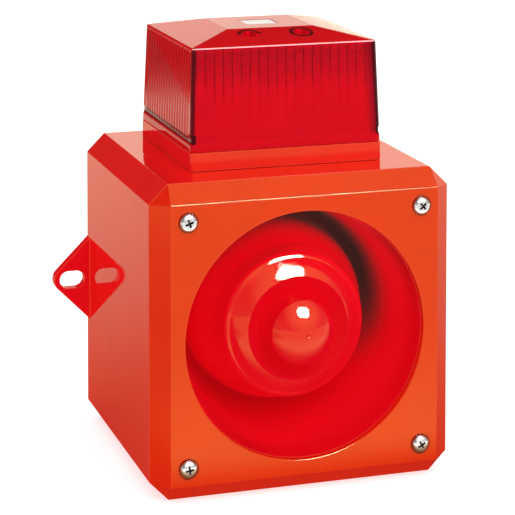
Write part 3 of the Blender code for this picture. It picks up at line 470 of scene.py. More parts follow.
def board_material(name):
    """Green solder resist with faint copper tracks under it."""
    k = Mat(name)
    br = k.node("ShaderNodeTexBrick")
    mp = k.node("ShaderNodeMapping")
    mp.inputs["Rotation"].default_value = (rad(90), 0, 0)
    k.link(k.co, mp.inputs["Vector"])
    k.link(mp.outputs["Vector"], br.inputs["Vector"])
    br.inputs["Scale"].default_value = 150.0
    br.inputs["Mortar Size"].default_value = 0.05
    br.inputs["Brick Width"].default_value = 1.3
    br.inputs["Row Height"].default_value = 0.42
    tracks = k.ramp(br.outputs["Fac"], 0.0, 1.0, 0.1, 0.6)
    mask = k.ramp(k.noise(70.0, 1.0), 0.0, 1.0, 0.47, 0.53)
    mult = k.node("ShaderNodeMath", operation="MULTIPLY")
    k.link(tracks, mult.inputs[0])
    k.link(mask, mult.inputs[1])
    k.link(k.mix(mult.outputs[0], (0.012, 0.10, 0.045), (0.05, 0.22, 0.09)), k.b.inputs["Base Color"])
    k.link(k.bump(mult.outputs[0], 0.00003), k.b.inputs["Normal"])
    k.link(k.ramp(k.noise(300.0), 0.22, 0.36), k.b.inputs["Roughness"])
    return k.m


def wound(name, rgb, pitch=0.0006):
    """Fine winding: closely spaced turns of enamelled wire."""
    k = Mat(name)
    w = k.node("ShaderNodeTexWave", bands_direction="Z", wave_profile="SIN")
    w.inputs["Scale"].default_value = 1.0 / pitch / TAU * 1.0
    w.inputs["Distortion"].default_value = 0.3
    k.link(k.co, w.inputs["Vector"])
    k.link(k.bump(w.outputs["Fac"], 0.0002), k.b.inputs["Normal"])
    # painted shade: the grooves between turns are darker
    k.link(k.mix(w.outputs["Fac"], tuple(c * 0.45 for c in rgb), rgb), k.b.inputs["Base Color"])
    k.set(Metallic=0.7, Roughness=0.32)
    return k.m


def clear_red(name, rgb=(0.95, 0.002, 0.012), rough=(0.03, 0.06)):
    """Transparent red moulding, slightly milky. Painted shade darkens the colour along the flutes
    and makes the thick rounded corners nearly black. Shadow rays pass it tinted, so the parts inside stay lit."""
    k = Mat(name)
    k.set(IOR=1.56, Specular_Tint=(1.0, 0.10, 0.16, 1.0), Transmission_Weight=0.42)
    sp = k.node("ShaderNodeSeparateXYZ")
    k.link(k.co, sp.inputs[0])
    g = k.node("ShaderNodeNewGeometry")
    ns = k.node("ShaderNodeSeparateXYZ")
    k.link(g.outputs["True Normal"], ns.inputs[0])

    def mth(op, a, b=None, clamp=False):
        n = k.node("ShaderNodeMath", operation=op, use_clamp=clamp)
        for sock, v in zip(n.inputs, (a, b)):
            if isinstance(v, bpy.types.NodeSocket):
                k.link(v, sock)
            elif v is not None:
                sock.default_value = v
        return n.outputs[0]

    def soft(v, lo, hi, out_lo=0.0, out_hi=1.0):
        n = k.node("ShaderNodeMapRange", interpolation_type="SMOOTHSTEP")
        for key, val in (("From Min", lo), ("From Max", hi), ("To Min", out_lo), ("To Max", out_hi)):
            n.inputs[key].default_value = val
        k.link(v, n.inputs["Value"])
        return n.outputs["Result"]

    def flute_lines(u, pitch, phase):
        t = mth("FRACT", mth("ADD", mth("DIVIDE", u, pitch), phase))
        return soft(mth("ABSOLUTE", mth("SUBTRACT", t, 0.5)), 0.440, 0.486)
    nx, ny, nz = (mth("ABSOLUTE", ns.outputs[i]) for i in range(3))
    front = mth("MULTIPLY", soft(ny, 0.6, 0.8), soft(nz, 0.5, 0.3))
    side = mth("MULTIPLY", soft(nx, 0.6, 0.8), soft(nz, 0.5, 0.3))
    # painted shade: dark lines along the flutes, strongest high up
    lines = mth("ADD", mth("MULTIPLY", flute_lines(sp.outputs[0], 0.00483, 0.0), front),
                mth("MULTIPLY", flute_lines(mth("SUBTRACT", sp.outputs[1], BY * MM), 0.00483, 0.5), side))
    lines = mth("MULTIPLY", lines, soft(sp.outputs[2], 0.0975, 0.0995))
    uneven = k.ramp(k.noise(60.0, 2.0, 0.5, stretch=(1.0, 1.0, 0.05)), -0.006, 0.006, 0.35, 0.65)
    zz = mth("ADD", sp.outputs[2], uneven)
    lines = mth("MULTIPLY", lines, mth("ADD", soft(zz, 0.119, 0.127, 0.0, 0.75), soft(zz, 0.099, 0.125, 0.10, 0.25)))
    patchy = k.ramp(k.noise(900.0, 3.0, 0.6), 0.55, 1.0, 0.35, 0.6)
    lines = mth("MULTIPLY", lines, patchy)
    # painted shade: the upper front darker
    upper = mth("MULTIPLY", mth("MULTIPLY", soft(sp.outputs[2], 0.116, 0.140), front),
                k.ramp(k.noise(420.0, 4.0, 0.7), 0.25, 0.60, 0.35, 0.65))
    # painted shade: the thick rounded corners darkened nearly to black
    corner = soft(mth("MULTIPLY", nx, ny), 0.16, 0.34)
    corner = mth("MULTIPLY", corner, soft(sp.outputs[2], 0.0925, 0.096))
    c = k.mix(k.ramp(k.noise(30.0, 2.0), 0.0, 1.0), rgb, tuple(v * 0.95 for v in rgb))
    c = k.mix(upper, c, (0.28, 0.003, 0.010))
    c = k.mix(lines, c, (0.025, 0.002, 0.004))
    c = k.mix(mth("MULTIPLY", corner, 0.93), c, (0.030, 0.002, 0.004))
    # right edge: painted shade where the thick side wall is seen end on, dark red turning black, and the black foot
    # pads
    across = mth("ADD", sp.outputs[0], mth("MULTIPLY", mth("SUBTRACT", sp.outputs[2], 0.090), 0.049))
    body = mth("MULTIPLY", soft(ny, 0.25, 0.45), mth("MULTIPLY", soft(sp.outputs[2], 0.0925, 0.0965), soft(nz, 0.5, 0.3)))
    c = k.mix(mth("MULTIPLY", mth("MULTIPLY", soft(across, (PLX - 8.0) * MM, (PLX - 2.6) * MM), body), 0.62), c, (0.16, 0.003, 0.010))
    c = k.mix(mth("MULTIPLY", mth("MULTIPLY", soft(across, (PLX - 2.8) * MM, (PLX - 2.1) * MM), body), 0.95), c, (0.018, 0.002, 0.003))
    both = mth("ADD", mth("ABSOLUTE", sp.outputs[0]), mth("MULTIPLY", mth("SUBTRACT", sp.outputs[2], 0.090), 0.049))
    foot = mth("MULTIPLY", mth("MULTIPLY", soft(sp.outputs[2], 0.0938, 0.0942), soft(sp.outputs[2], 0.0988, 0.0984)),
               mth("MULTIPLY", soft(both, (PLX - 2.9) * MM, (PLX - 2.6) * MM), soft(ny, 0.25, 0.45)))
    c = k.mix(mth("MULTIPLY", foot, 0.96), c, (0.012, 0.002, 0.003))
    # painted shade: the waist drawn as a dark line along the sides
    groove_ = mth("MULTIPLY", soft(nx, 0.5, 0.7), mth("MULTIPLY", soft(sp.outputs[2], 0.0938, 0.0946), soft(sp.outputs[2], 0.0978, 0.0968)))
    c = k.mix(mth("MULTIPLY", groove_, 0.8), c, (0.10, 0.003, 0.006))
    # the screw wells: painted shade for the dark mottled wall seen through the roof, and painted light glowing inside
    # the bore
    wx = mth("SUBTRACT", mth("ABSOLUTE", sp.outputs[0]), WELL_X * MM)
    wy = mth("SUBTRACT", mth("ABSOLUTE", mth("SUBTRACT", sp.outputs[1], BY * MM)), WELL_Y * MM)
    wr = mth("SQRT", mth("ADD", mth("MULTIPLY", wx, wx), mth("MULTIPLY", wy, wy)))
    well = mth("MULTIPLY", soft(wr, 0.0041, 0.0047), soft(wr, 0.0069, 0.0063))
    well = mth("MULTIPLY", mth("MULTIPLY", well, soft(ns.outputs[2], 0.5, 0.8)),
               k.ramp(k.noise(1300.0, 3.0, 0.7), 0.45, 1.0, 0.38, 0.52))
    far = mth("MAXIMUM", soft(sp.outputs[0], -0.004, 0.004), soft(mth("ABSOLUTE", mth("SUBTRACT", sp.outputs[1], BY * MM)),
              (WELL_Y + 0.6) * MM, (WELL_Y - 1.2) * MM))
    well = mth("MULTIPLY", well, far)
    c = k.mix(well, c, (0.012, 0.002, 0.003))
    # painted light: the bore glows
    inside_bore = mth("MULTIPLY", mth("MULTIPLY", soft(wr, 0.0044, 0.00425), soft(sp.outputs[2], 0.100, 0.125)), 0.45)
    # painted highlight: the front eave glows as a pale line where it catches the light
    eave = mth("MULTIPLY", mth("MULTIPLY", soft(ns.outputs[2], 0.16, 0.30), soft(ns.outputs[2], 0.93, 0.85)),
               mth("MULTIPLY", soft(ns.outputs[1], -0.25, -0.40), soft(sp.outputs[2], 0.1412, 0.1418)))
    k.link(mth("ADD", inside_bore, mth("MULTIPLY", eave, 0.95)), k.b.inputs["Emission Strength"])
    k.link(k.mix(eave, (0.75, 0.004, 0.014), (1.0, 0.66, 0.52)), k.b.inputs["Emission Color"])
    # painted shade: reflection turned down on the upper front part of the left side, where it lies in its own shadow,
    # and on the right roof slope
    u_ = mth("MULTIPLY", mth("SUBTRACT", sp.outputs[1], (BY - PLY) * MM), 0.33)
    over = mth("SUBTRACT", mth("SUBTRACT", sp.outputs[2], 0.1115), u_)
    left_side_shade = mth("MULTIPLY", mth("MULTIPLY", soft(over, -0.0035, 0.0025), soft(ns.outputs[0], -0.6, -0.8)), soft(sp.outputs[0], 0.0, -0.040))
    right_roof_shade = mth("MULTIPLY", soft(ns.outputs[0], 0.12, 0.2), soft(ns.outputs[2], 0.5, 0.8))
    k.link(mth("SUBTRACT", mth("SUBTRACT", 0.45, mth("MULTIPLY", left_side_shade, 0.44)), mth("MULTIPLY", right_roof_shade, 0.36)), k.b.inputs["Specular IOR Level"])
    k.link(c, k.b.inputs["Base Color"])
    k.link(k.ramp(k.noise(70.0, 3.0), rough[0], rough[1]), k.b.inputs["Roughness"])
    k.link(k.bump(k.noise(900.0, 2.0), 0.000012), k.b.inputs["Normal"])
    tr = k.node("ShaderNodeBsdfTransparent")
    tr.inputs["Color"].default_value = (0.80, 0.16, 0.16, 1.0)
    lp = k.node("ShaderNodeLightPath")
    mx = k.node("ShaderNodeMixShader")
    k.link(lp.outputs["Is Shadow Ray"], mx.inputs[0])
    k.link(k.b.outputs[0], mx.inputs[1])
    k.link(tr.outputs[0], mx.inputs[2])
    k.link(mx.outputs[0], k.out.inputs["Surface"])
    return k.m


def clear_glass(name):
    k = Mat(name)
    k.set(Transmission_Weight=1.0, IOR=1.47, Roughness=0.02)
    k.link(k.mix(k.ramp(k.noise(120.0), 0.0, 1.0), (0.97, 0.98, 1.0), (0.9, 0.93, 0.97)), k.b.inputs["Base Color"])
    tr = k.node("ShaderNodeBsdfTransparent")
    lp = k.node("ShaderNodeLightPath")
    mx = k.node("ShaderNodeMixShader")
    k.link(lp.outputs["Is Shadow Ray"], mx.inputs[0])
    k.link(k.b.outputs[0], mx.inputs[1])
    k.link(tr.outputs[0], mx.inputs[2])
    k.link(mx.outputs[0], k.out.inputs["Surface"])
    return k.m


M = {
    "housing_red": moulded("housing_red", (0.90, 0.006, 0.006), rough=(0.018, 0.030), wave=0.000002, peel=0.0000015, edges=True, streaks=True),
    "cover_red": moulded("cover_red", (0.78, 0.012, 0.003), tint=(1.0, 0.76, 0.17), rough=(0.05, 0.085), wave=0.000008, edges=True),
    "horn_red": moulded("horn_red", (0.82, 0.004, 0.015), rough=(0.05, 0.075), wave=0.000003, peel=0.000003, horn=True),
    "base_red": moulded("base_red", (0.86, 0.004, 0.012), rough=(0.055, 0.085), wave=0.000008, edges=True),
    "lens_red": clear_red("lens_red"),
    "screw_bright": metal("screw_bright", (0.80, 0.79, 0.76), (0.10, 0.24)),
    "screw_steel": metal("screw_steel", (0.58, 0.58, 0.56), (0.25, 0.42)),
    "seal_black": dull("seal_black", (0.018, 0.018, 0.019), (0.55, 0.75), 700.0, 0.00005),
    "driver_black": dull("driver_black", (0.02, 0.02, 0.021), (0.35, 0.5)),
    "film": dull("film", (0.42, 0.24, 0.07), (0.22, 0.34), 500.0),
    "steel_plate": metal("steel_plate", (0.52, 0.52, 0.53), (0.25, 0.4), 900.0, (1.0, 1.0, 6.0)),
    "ferrite": dull("ferrite", (0.035, 0.035, 0.038), (0.5, 0.7), 1500.0, 0.00006),
    "board_green": board_material("board_green"),
    "terminal_grey": dull("terminal_grey", (0.36, 0.38, 0.39), (0.4, 0.5)),
    "switch_blue": dull("switch_blue", (0.012, 0.045, 0.30), (0.28, 0.4)),
    "lever_white": dull("lever_white", (0.74, 0.73, 0.70), (0.35, 0.45)),
    "sleeve_black": dull("sleeve_black", (0.014, 0.014, 0.028), (0.2, 0.3), 260.0),
    "transformer_iron": dull("transformer_iron", (0.07, 0.062, 0.055), (0.4, 0.6), 1200.0, 0.00008),
    "lead_black": dull("lead_black", (0.016, 0.016, 0.017), (0.4, 0.5)),
    "nylon_black": dull("nylon_black", (0.02, 0.02, 0.021), (0.34, 0.46), 1100.0, 0.00004),
    "label_white": dull("label_white", (0.86, 0.85, 0.83), (0.16, 0.26), 400.0, 0.00001, 0.02),
    "reflector": dull("reflector", (0.84, 0.84, 0.82), (0.2, 0.3), 500.0, 0.00001, 0.02),
    "flash_glass": clear_glass("flash_glass"),
    "coil_copper": wound("coil_copper", (0.66, 0.30, 0.12)),
}

def pan_material(name):
    """Bright plated screw; grime and shadow gather in the cross recess."""
    m = metal(name, (0.86, 0.85, 0.82), (0.08, 0.18))
    k = Mat.__new__(Mat)
    k.m, k.t = m, m.node_tree
    k.b, k.out = k.t.nodes["Principled BSDF"], k.t.nodes["Material Output"]
    k.co = k.t.nodes.new("ShaderNodeTexCoord").outputs["Object"]
    sp = k.node("ShaderNodeSeparateXYZ")
    k.link(k.co, sp.inputs[0])

    def mth(op, a, b=0.0):
        n = k.node("ShaderNodeMath", operation=op)
        for sock, v in zip(n.inputs, (a, b)):
            if isinstance(v, bpy.types.NodeSocket):
                k.link(v, sock)
            else:
                sock.default_value = v
        return n.outputs[0]
    ux = mth("SUBTRACT", mth("ABSOLUTE", sp.outputs[0]), SCREW_AT * MM)
    uz = mth("SUBTRACT", mth("ABSOLUTE", sp.outputs[2]), SCREW_AT * MM)
    r = mth("SQRT", mth("ADD", mth("MULTIPLY", ux, ux), mth("MULTIPLY", uz, uz)))
    inner = k.ramp(r, 1.0, 0.0, 0.0024, 0.0031)
    # skin of the dome at this radius, and how far the point lies under it
    skin_y = mth("ADD", mth("MULTIPLY", mth("MULTIPLY", r, r), 35.0), Y(0.7 - 3.0) * MM)
    under = k.ramp(mth("SUBTRACT", sp.outputs[1], skin_y), 0.0, 1.0, 0.00008, 0.00045)
    old = k.b.inputs["Base Color"].links[0].from_socket
    k.link(k.mix(mth("MULTIPLY", mth("MULTIPLY", inner, under), 0.94), old, (0.05, 0.035, 0.02)), k.b.inputs["Base Color"])
    return m


M["pan_bright"] = pan_material("pan_bright")
slot_of = {s["node"]: s["material_slot"] for s in frame["record"]["subparts"]}
for node, ob in NODES.items():
    key = slot_of.get(node, "horn_red")
    ob.data.materials.clear()
    ob.data.materials.append(M[key])

# ============================================================ rear housing
housing = prism_y(octagon(HALF, EDGE_CUT), Y(RIM_DEPTH), 0.0, edge=0.4, segs=3)
# lugs: half of a square on its corner, tip rounded, edges softly rounded
LUG_REACH = LUG_X - HALF
tip_r = (LUG_ROOT - LUG_REACH) / (math.sqrt(2.0) - 1.0)
adds = []
slots = []
for side in (-1, 1):
    cx = HALF + LUG_REACH - tip_r
    outline = [(HALF - 2.5, -LUG_ROOT)]
    outline += [(HALF, -LUG_ROOT)]
    outline += arc(cx, 0.0, tip_r, -45, 45, 18)
    outline += [(HALF, LUG_ROOT), (HALF - 2.5, LUG_ROOT)]
    lug = prism_y([(side * x, z) for x, z in outline], -LUG_T, 0.0, edge=0.5, segs=3,
                  keep=lambda e: all(abs(v.co.x) > (HALF - 1.0) * MM for v in e.verts)
                  and abs(e.verts[0].co.y - e.verts[1].co.y) < 1e-6)
    adds.append(lug)
    pts = arc(SLOT_AT + (SLOT_LEN - SLOT_W) / 2, 0.0, SLOT_W / 2, -90, 90, 22)
    pts += arc(SLOT_AT - (SLOT_LEN - SLOT_W) / 2, 0.0, SLOT_W / 2, 90, 270, 22)

    def ring(grow, y, pts=pts, side=side):
        out = []
        n = len(pts)
        for i in range(n):
            a, b, c = Vector(pts[i - 1]), Vector(pts[i]), Vector(pts[(i + 1) % n])
            t = (c - a).normalized()
            q = b + Vector((t.y, -t.x)) * grow
            out.append((side * q.x, y, q.y))
        return out
    # slot cutter with a small rounded lip at both faces
    levels = [(0.45, -LUG_T - 3.0), (0.45, -LUG_T - 0.001)] + \
             [(0.45 * (1 - math.sin(rad(a))), -LUG_T + 0.45 * (1 - math.cos(rad(a)))) for a in (30, 60, 90)] + \
             [(0.45 * (1 - math.sin(rad(a))), -0.45 * (1 - math.cos(rad(a)))) for a in (90, 60, 30)] + \
             [(0.45, 0.001), (0.45, 3.0)]
    bm = bmesh.new()
    rings = [[bm.verts.new(Vector(p) * MM) for p in ring(g, y)] for g, y in levels]
    for a, b in zip(rings[:-1], rings[1:]):
        for i in range(len(a)):
            j = (i + 1) % len(a)
            bm.faces.new((a[i], a[j], b[j], b[i]))
    bm.faces.new(rings[0])
    bm.faces.new(list(reversed(rings[-1])))
    bmesh.ops.recalc_face_normals(bm, faces=bm.faces[:])
    if bm.calc_volume(signed=True) < 0:
        bmesh.ops.reverse_faces(bm, faces=bm.faces[:])
    slots.append(to_object(bm))
PLUG_X, PLUG_Y = -30.0, -48.0
GLAND_Y, GLAND_Z = -40.0, -42.0
housing = join(housing, *adds)
housing = cut(housing, prism_y(octagon(HALF - WALL, 8.3), Y(RIM_DEPTH) - 5, -REAR_WALL))
inner_adds = []
for _, sx, sz in CORNERS:
    inner_adds.append(rod((sx * SCREW_AT, -REAR_WALL + 2.0, sz * SCREW_AT), (0, -1, 0), 6.0,
                          -FRONT - RIM_DEPTH - REAR_WALL + 2.0 - 1.2, 40))
for sx in (-1, 1):
    for sz in (-1, 1):
        inner_adds.append(rod((sx * 46.0, -REAR_WALL + 1.0, sz * 46.0), (0, -1, 0), 3.6,
                              -FRONT - REAR_WALL - BOARD_D - BOARD_T - GAP + 1.0, 28))
inner_adds.append(rod((PLUG_X, PLUG_Y, -HALF + 2.0), (0, 0, 1), 15.5, 5.8, 48))
# stiffening ribs on the inside of the rear wall
for z in (-30.0, 0.0, 30.0):
    inner_adds.append(box(-40.0, 40.0, -REAR_WALL - 2.2, -REAR_WALL + 1.0, z - 0.9, z + 0.9))
housing = join(housing, *inner_adds)
outer_g = prism_y(octagon(79.0, 9.3), Y(RIM_DEPTH) - 3, Y(RIM_DEPTH + 1.0))
outer_g = cut(outer_g, prism_y(octagon(77.5, 8.7), Y(RIM_DEPTH) - 6, Y(RIM_DEPTH + 4.0)))
cuts = [outer_g] + slots
for _, sx, sz in CORNERS:
    cuts.append(rod((sx * SCREW_AT, Y(45.0), sz * SCREW_AT), (0, -1, 0), 2.9, 45.0, 28))
for sx in (-1, 1):
    for sz in (-1, 1):
        cuts.append(rod((sx * 46.0, -REAR_WALL - 0.6, sz * 46.0), (0, -1, 0), 1.6, 14.0, 20))
cuts.append(rod((HALF - 12, GLAND_Y, GLAND_Z), (1, 0, 0), 10.4, 24, 56))
cuts.append(turned([(0, -HALF - 3.0), (13.5, -HALF - 3.0), (13.5, -HALF), (13.1, -HALF + 0.4), (13.1, -HALF + 2.4),
                    (10.4, -HALF + 2.4), (10.4, -HALF + 15.0), (0, -HALF + 15.0)], (PLUG_X, PLUG_Y, 0), (0, 0, 1), 56))
for sx in (-1, 1):
    for sy in (-1, 1):
        cuts.append(rod((sx * 40.0, BY + sy * 36.0, HALF - 9), (0, 0, 1), 1.9, 14, 20))
cuts.append(rod((0.0, BY + WELL_Y, HALF - 9), (0, 0, 1), 4.0, 14, 28))
housing = cut(housing, *cuts)
finish(housing, "housing_shell", "housing", "housing_red", M["housing_red"], "rear_housing")

# ============================================================= front cover
outer = [(sx * FLAT, Y(0), sz * FLAT) for _, sx, sz in CORNERS]
outer += [(x, Y(BEVEL_DEPTH), z) for x, z in octagon(HALF, EDGE_CUT)]
cover = hull(outer, edge=0.22, segs=3)
inner = [(sx * 70.9, Y(COVER_PLATE), sz * 70.9) for _, sx, sz in CORNERS]
inner += [(x, Y(BEVEL_DEPTH), z) for x, z in octagon(76.5, 8.5)]
inner += [(x, Y(BEVEL_DEPTH + 6.0), z) for x, z in octagon(76.5, 8.5)]
cover = cut(cover, hull(inner))
bosses = []
for _, sx, sz in CORNERS:
    bosses.append(rod((sx * SCREW_AT, Y(1.6), sz * SCREW_AT), (0, 1, 0), 6.6, BEVEL_DEPTH - 1.6, 48))
for _, sx, sz in CORNERS:
    bosses.append(rod((sx * 52.3, Y(1.6), sz * 52.3), (0, 1, 0), 4.2, 5.5 - 1.6, 36))
cover = join(cover, *bosses)
LIP = 0.75
cuts = []
opening = [(0, -Y(-4.0)), (HORN_R + LIP, -Y(-4.0)), (HORN_R + LIP, -Y(-0.0005))]
opening += [(HORN_R + LIP - LIP * math.sin(rad(a)), -Y(LIP - LIP * math.cos(rad(a)))) for a in (15, 30, 45, 60, 75, 90)]
opening += [(HORN_R, -Y(12.0)), (0, -Y(12.0))]
cuts.append(turned(opening, (0, 0, 0), (0, -1, 0), 176))
for _, sx, sz in CORNERS:
    prof = [(0, -4.0), (5.5, -4.0), (5.5, -0.0005)]
    prof += [(5.5 - 0.3 * math.sin(rad(a)), 0.3 - 0.3 * math.cos(rad(a))) for a in (30, 60, 90)]
    prof += [(5.2, 1.0), (2.9, 1.0), (2.9, 16.0), (0, 16.0)]
    cuts.append(turned([(r, -Y(d)) for r, d in prof], (sx * SCREW_AT, 0, sz * SCREW_AT), (0, -1, 0), 56))
    cuts.append(rod((sx * 52.3, Y(1.2), sz * 52.3), (0, 1, 0), 1.8, 9.0, 20))
cover = cut(cover, *cuts)
finish(cover, "cover_shell", "cover_assembly", "cover_red", M["cover_red"], "front_cover")

# =============================================================== horn flare
b1 = smooth([(63.2, 4.3), (63.05, 8), (62.7, 14), (62.2, 20), (61.4, 27), (60.3, 34), (59.1, 40), (58.35, 43.3)], 2)
b2 = smooth([(58.0, 43.65), (56.9, 48.5), (55.8, 54), (54.6, 60), (53.0, 65.5), (50.6, 70.2), (47.0, 74.0),
             (42.0, 76.4), (34.0, 77.2), (20.0, 77.2), (13.8, 76.8), (11.6, 75.0), (10.6, 66), (9.8, 50), (9.3, 36.7)], 3)
b3 = [(9.0, 36.2), (8.4, 36.0), (7.8, 36.2)]
b4 = smooth([(7.4, 36.8), (6.8, 55), (6.2, 80.8)], 2)
b5 = [(40.0, 80.8)]
b6 = smooth([(47.0, 79.4), (52.6, 75.6), (56.0, 69.5), (58.0, 62), (59.4, 54), (60.9, 46), (62.4, 37), (64.0, 25),
             (65.2, 12), (65.8, 6.4)], 2)
b7 = [(66.1, 6.0), (69.0, 6.0), (69.4, 5.7), (69.4, 3.8), (69.1, 3.5), (63.9, 3.5), (63.4, 3.7)]
flare = turned([(r, -Y(d)) for r, d in b1 + b2 + b3 + b4 + b5 + b6 + b7], (0, 0, 0), (0, -1, 0), 144)
ears = []
for _, sx, sz in CORNERS:
    ears.append(rod((sx * 52.3, Y(5.8), sz * 52.3), (0, 1, 0), 4.4, 2.5, 32))
webs = [hull([(sx * (x + a * 2.6), y, sz * (x - a * 2.6)) for x in (47.4, 52.3) for a in (-1, 1)
              for y in (Y(5.8), Y(8.3))]) for _, sx, sz in CORNERS]
DRIVER_SCREWS = [("top", rad(90)), ("left", rad(210)), ("right", rad(330))]
lugs = [rod((36 * math.cos(a), Y(79.8), 36 * math.sin(a)), (0, 1, 0), 4.0, 4.3, 32) for _, a in DRIVER_SCREWS]
flare = join(flare, *ears, *lugs)
flare = join(flare, *webs)
flare = cut(flare, *[rod((sx * 52.3, Y(2.0), sz * 52.3), (0, 1, 0), 1.8, 12, 20) for _, sx, sz in CORNERS],
            *[rod((36 * math.cos(a), Y(78.6), 36 * math.sin(a)), (0, 1, 0), 1.8, 9, 20) for _, a in DRIVER_SCREWS])
finish(flare, "horn_bowl", "cover_assembly", "horn_red", M["horn_red"], "horn_flare", angle=34)

# ================================================================ horn plug
NOSE_R = 22.0


def nose_depth(r):
    return -2.5 + NOSE_R - math.sqrt(NOSE_R ** 2 - r * r)


nose = [(0, -2.62), (0.28, -2.66), (0.5, -2.9), (0.72, -3.0), (0.95, -2.95), (1.12, -2.74), (1.25, nose_depth(1.25))]
for r in (1.9, 2.7, 3.6, 4.3):
    nose.append((r, nose_depth(r)))
nose += [(4.5, nose_depth(4.5) + 0.03), (4.68, nose_depth(4.68) + 0.035), (4.85, nose_depth(4.85))]
edge_a = math.asin(16.62 / NOSE_R)
for k in range(1, 19):
    a = math.asin(4.85 / NOSE_R) + (edge_a - math.asin(4.85 / NOSE_R)) * k / 18
    nose.append((NOSE_R * math.sin(a), -2.5 + NOSE_R * (1 - math.cos(a))))
# rounded shoulder of the nose, then its side down into the groove
r0, d0 = nose[-1]
t0 = math.degrees(edge_a)
RR = 0.5
cx, cd = r0 - RR * math.sin(edge_a), d0 + RR * math.cos(edge_a)
nose += [(cx + RR * math.sin(rad(t)), cd - RR * math.cos(rad(t))) for t in np.linspace(t0, 87, 7)[1:]]
groove = [(16.85, 8.5), (17.4, 22.6), (18.2, 21.85), (21.0, 19.0), (24.0, 15.95), (26.86, 13.02)]


def slide(start, steps):
    """Points outward from start; steps are (radius, slope in degrees there)."""
    pts = [start]
    for r, t in steps:
        r_, d_ = pts[-1]
        pts.append((r, d_ + (r - r_) * math.tan(rad(t))))
    return pts


# face of the ring, then its raised outer bead
ringA = slide((26.9, 13.01), [(26.9 + 5.1 * k / 12, math.degrees(math.asin(0.4226 + 0.2067 * (k - 0.5) / 12))) for k in range(1, 13)]
              + [(33.0, 39.2), (34.0, 39.6), (35.0, 40.0)])
ringB = slide(ringA[-1], [(35.08, 22.0)] + [(35.08 + 0.2 * k, 24.0 + 1.6 * k) for k in range(1, 10)])
rc_, dc_ = ringB[-1]
ringB += [(rc_ + 3.0 * (math.sin(rad(t)) - math.sin(rad(39))), dc_ + 3.0 * (math.cos(rad(39)) - math.cos(rad(t))))
          for t in (45, 51, 57, 63, 69, 75, 81, 87)]
skirt = smooth([(38.02, 22.9), (38.15, 27.6), (38.8, 33.0), (41.0, 37.5), (44.0, 41.5), (46.2, 45.5), (47.6, 50.5),
                (48.4, 56.0), (48.7, 61.2)], 4)
skirt += [(48.55, 61.7), (48.1, 62.0), (47.2, 62.0), (46.75, 61.7)]
inside = smooth([(46.6, 61.0), (46.3, 56.4), (45.5, 51.2), (44.1, 46.6), (42.1, 43.0), (39.2, 39.1), (36.8, 34.0),
                 (35.6, 28.6), (35.1, 25.0), (34.2, 21.4), (32.2, 18.6), (29.2, 16.5), (27.2, 16.3), (22.6, 21.4),
                 (18.4, 25.6), (15.8, 24.6), (14.9, 20.6), (14.6, 8.4), (12.6, 4.0), (8.0, 0.9), (3.5, -0.2), (0, -0.4)], 2)
plug = turned([(r, -Y(d)) for r, d in nose + groove + ringA + ringB + skirt + inside], (0, 0, 0), (0, -1, 0), 160)
legs = []
for k in range(3):
    leg = hull([(r, Y(d), w) for r, d in ((26.0, 46.0), (45.4, 46.0), (45.6, 60.0), (34.0, 76.8), (26.0, 76.8))
                for w in (-1.3, 1.3)])
    leg.data.transform(Matrix.Rotation(rad(30 + 120 * k), 4, "Y"))
    legs.append(leg)
plug = join(plug, *legs)
finish(plug, "horn_bell", "cover_assembly", "horn_red", M["horn_red"], "horn_plug", angle=24)


# ================================================================== screws
def cross_tool(size, depth, top):
    """Tapered cross of two wings, point down."""
    parts = []
    w0, w1 = 0.62, 0.42
    parts.append(hull([(sx * size, sy * w0, top) for sx in (-1, 1) for sy in (-1, 1)]
                      + [(sx * size * 0.38, sy * w1, top - depth) for sx in (-1, 1) for sy in (-1, 1)]))
    parts.append(hull([(sx * w0, sy * size, top + 0.01) for sx in (-1, 1) for sy in (-1, 1)]
                      + [(sx * w1, sy * size * 0.38, top - depth - 0.01) for sx in (-1, 1) for sy in (-1, 1)]))
    return parts


def fine_screw(seat, axis, head_r, head_h, shank_r, length, pitch, steps=56):
    prof = [(0, head_h), (head_r * 0.30, head_h * 0.985), (head_r * 0.55, head_h * 0.93), (head_r * 0.74, head_h * 0.83),
            (head_r * 0.88, head_h * 0.67), (head_r * 0.96, head_h * 0.47), (head_r, head_h * 0.26),
            (head_r, 0.12), (head_r - 0.12, 0.0), (shank_r, 0.0)]
    h = -2.5
    prof.append((shank_r, h))
    while h - pitch > -length + 0.8:
        prof += [(shank_r - 0.02, h - pitch * 0.12), (shank_r - 0.42 * pitch, h - pitch * 0.5), (shank_r, h - pitch * 0.92)]
        h -= pitch
    prof += [(shank_r - 0.5, -length + 0.2), (shank_r - 0.8, -length), (0, -length)]
    ob = turned(prof, (0, 0, 0), (0, 0, 1), steps)
    wings = cross_tool(head_r * 0.56, head_h * 0.78, head_h + 0.35)
    for w in wings:
        ob = cut(ob, w)
    marks = [box(head_r * 0.30, head_r * 0.62, -0.09, 0.09, head_h * 0.80, head_h + 1.0) for _ in range(4)]
    for k, m in enumerate(marks):
        m.data.transform(Matrix.Rotation(rad(45 + 90 * k), 4, "Z"))
    return cut(ob, *marks)


spots = {c[0]: (c[1] * SCREW_AT, Y(0.7), c[2] * SCREW_AT) for c in CORNERS}
turn_by = {"upper_left": 20, "upper_right": 42, "lower_left": 8, "lower_right": 30}
first = fine_screw(None, None, 4.65, 3.0, 2.5, 30.0, 0.8)
for name, at in spots.items():
    ob = bpy.data.objects.new("cover_screw", first.data.copy())
    scene.collection.objects.link(ob)
    ob.data.transform(Matrix.Translation(Vector(at) * MM) @ along((0, -1, 0)) @ Matrix.Rotation(rad(turn_by[name]), 4, "Z"))
    finish(ob, "pan_screw_" + name, "cover_screw_" + name, "screw_bright", M["pan_bright"], "cover_screw_" + name, angle=30)
bpy.data.objects.remove(first, do_unlink=True)


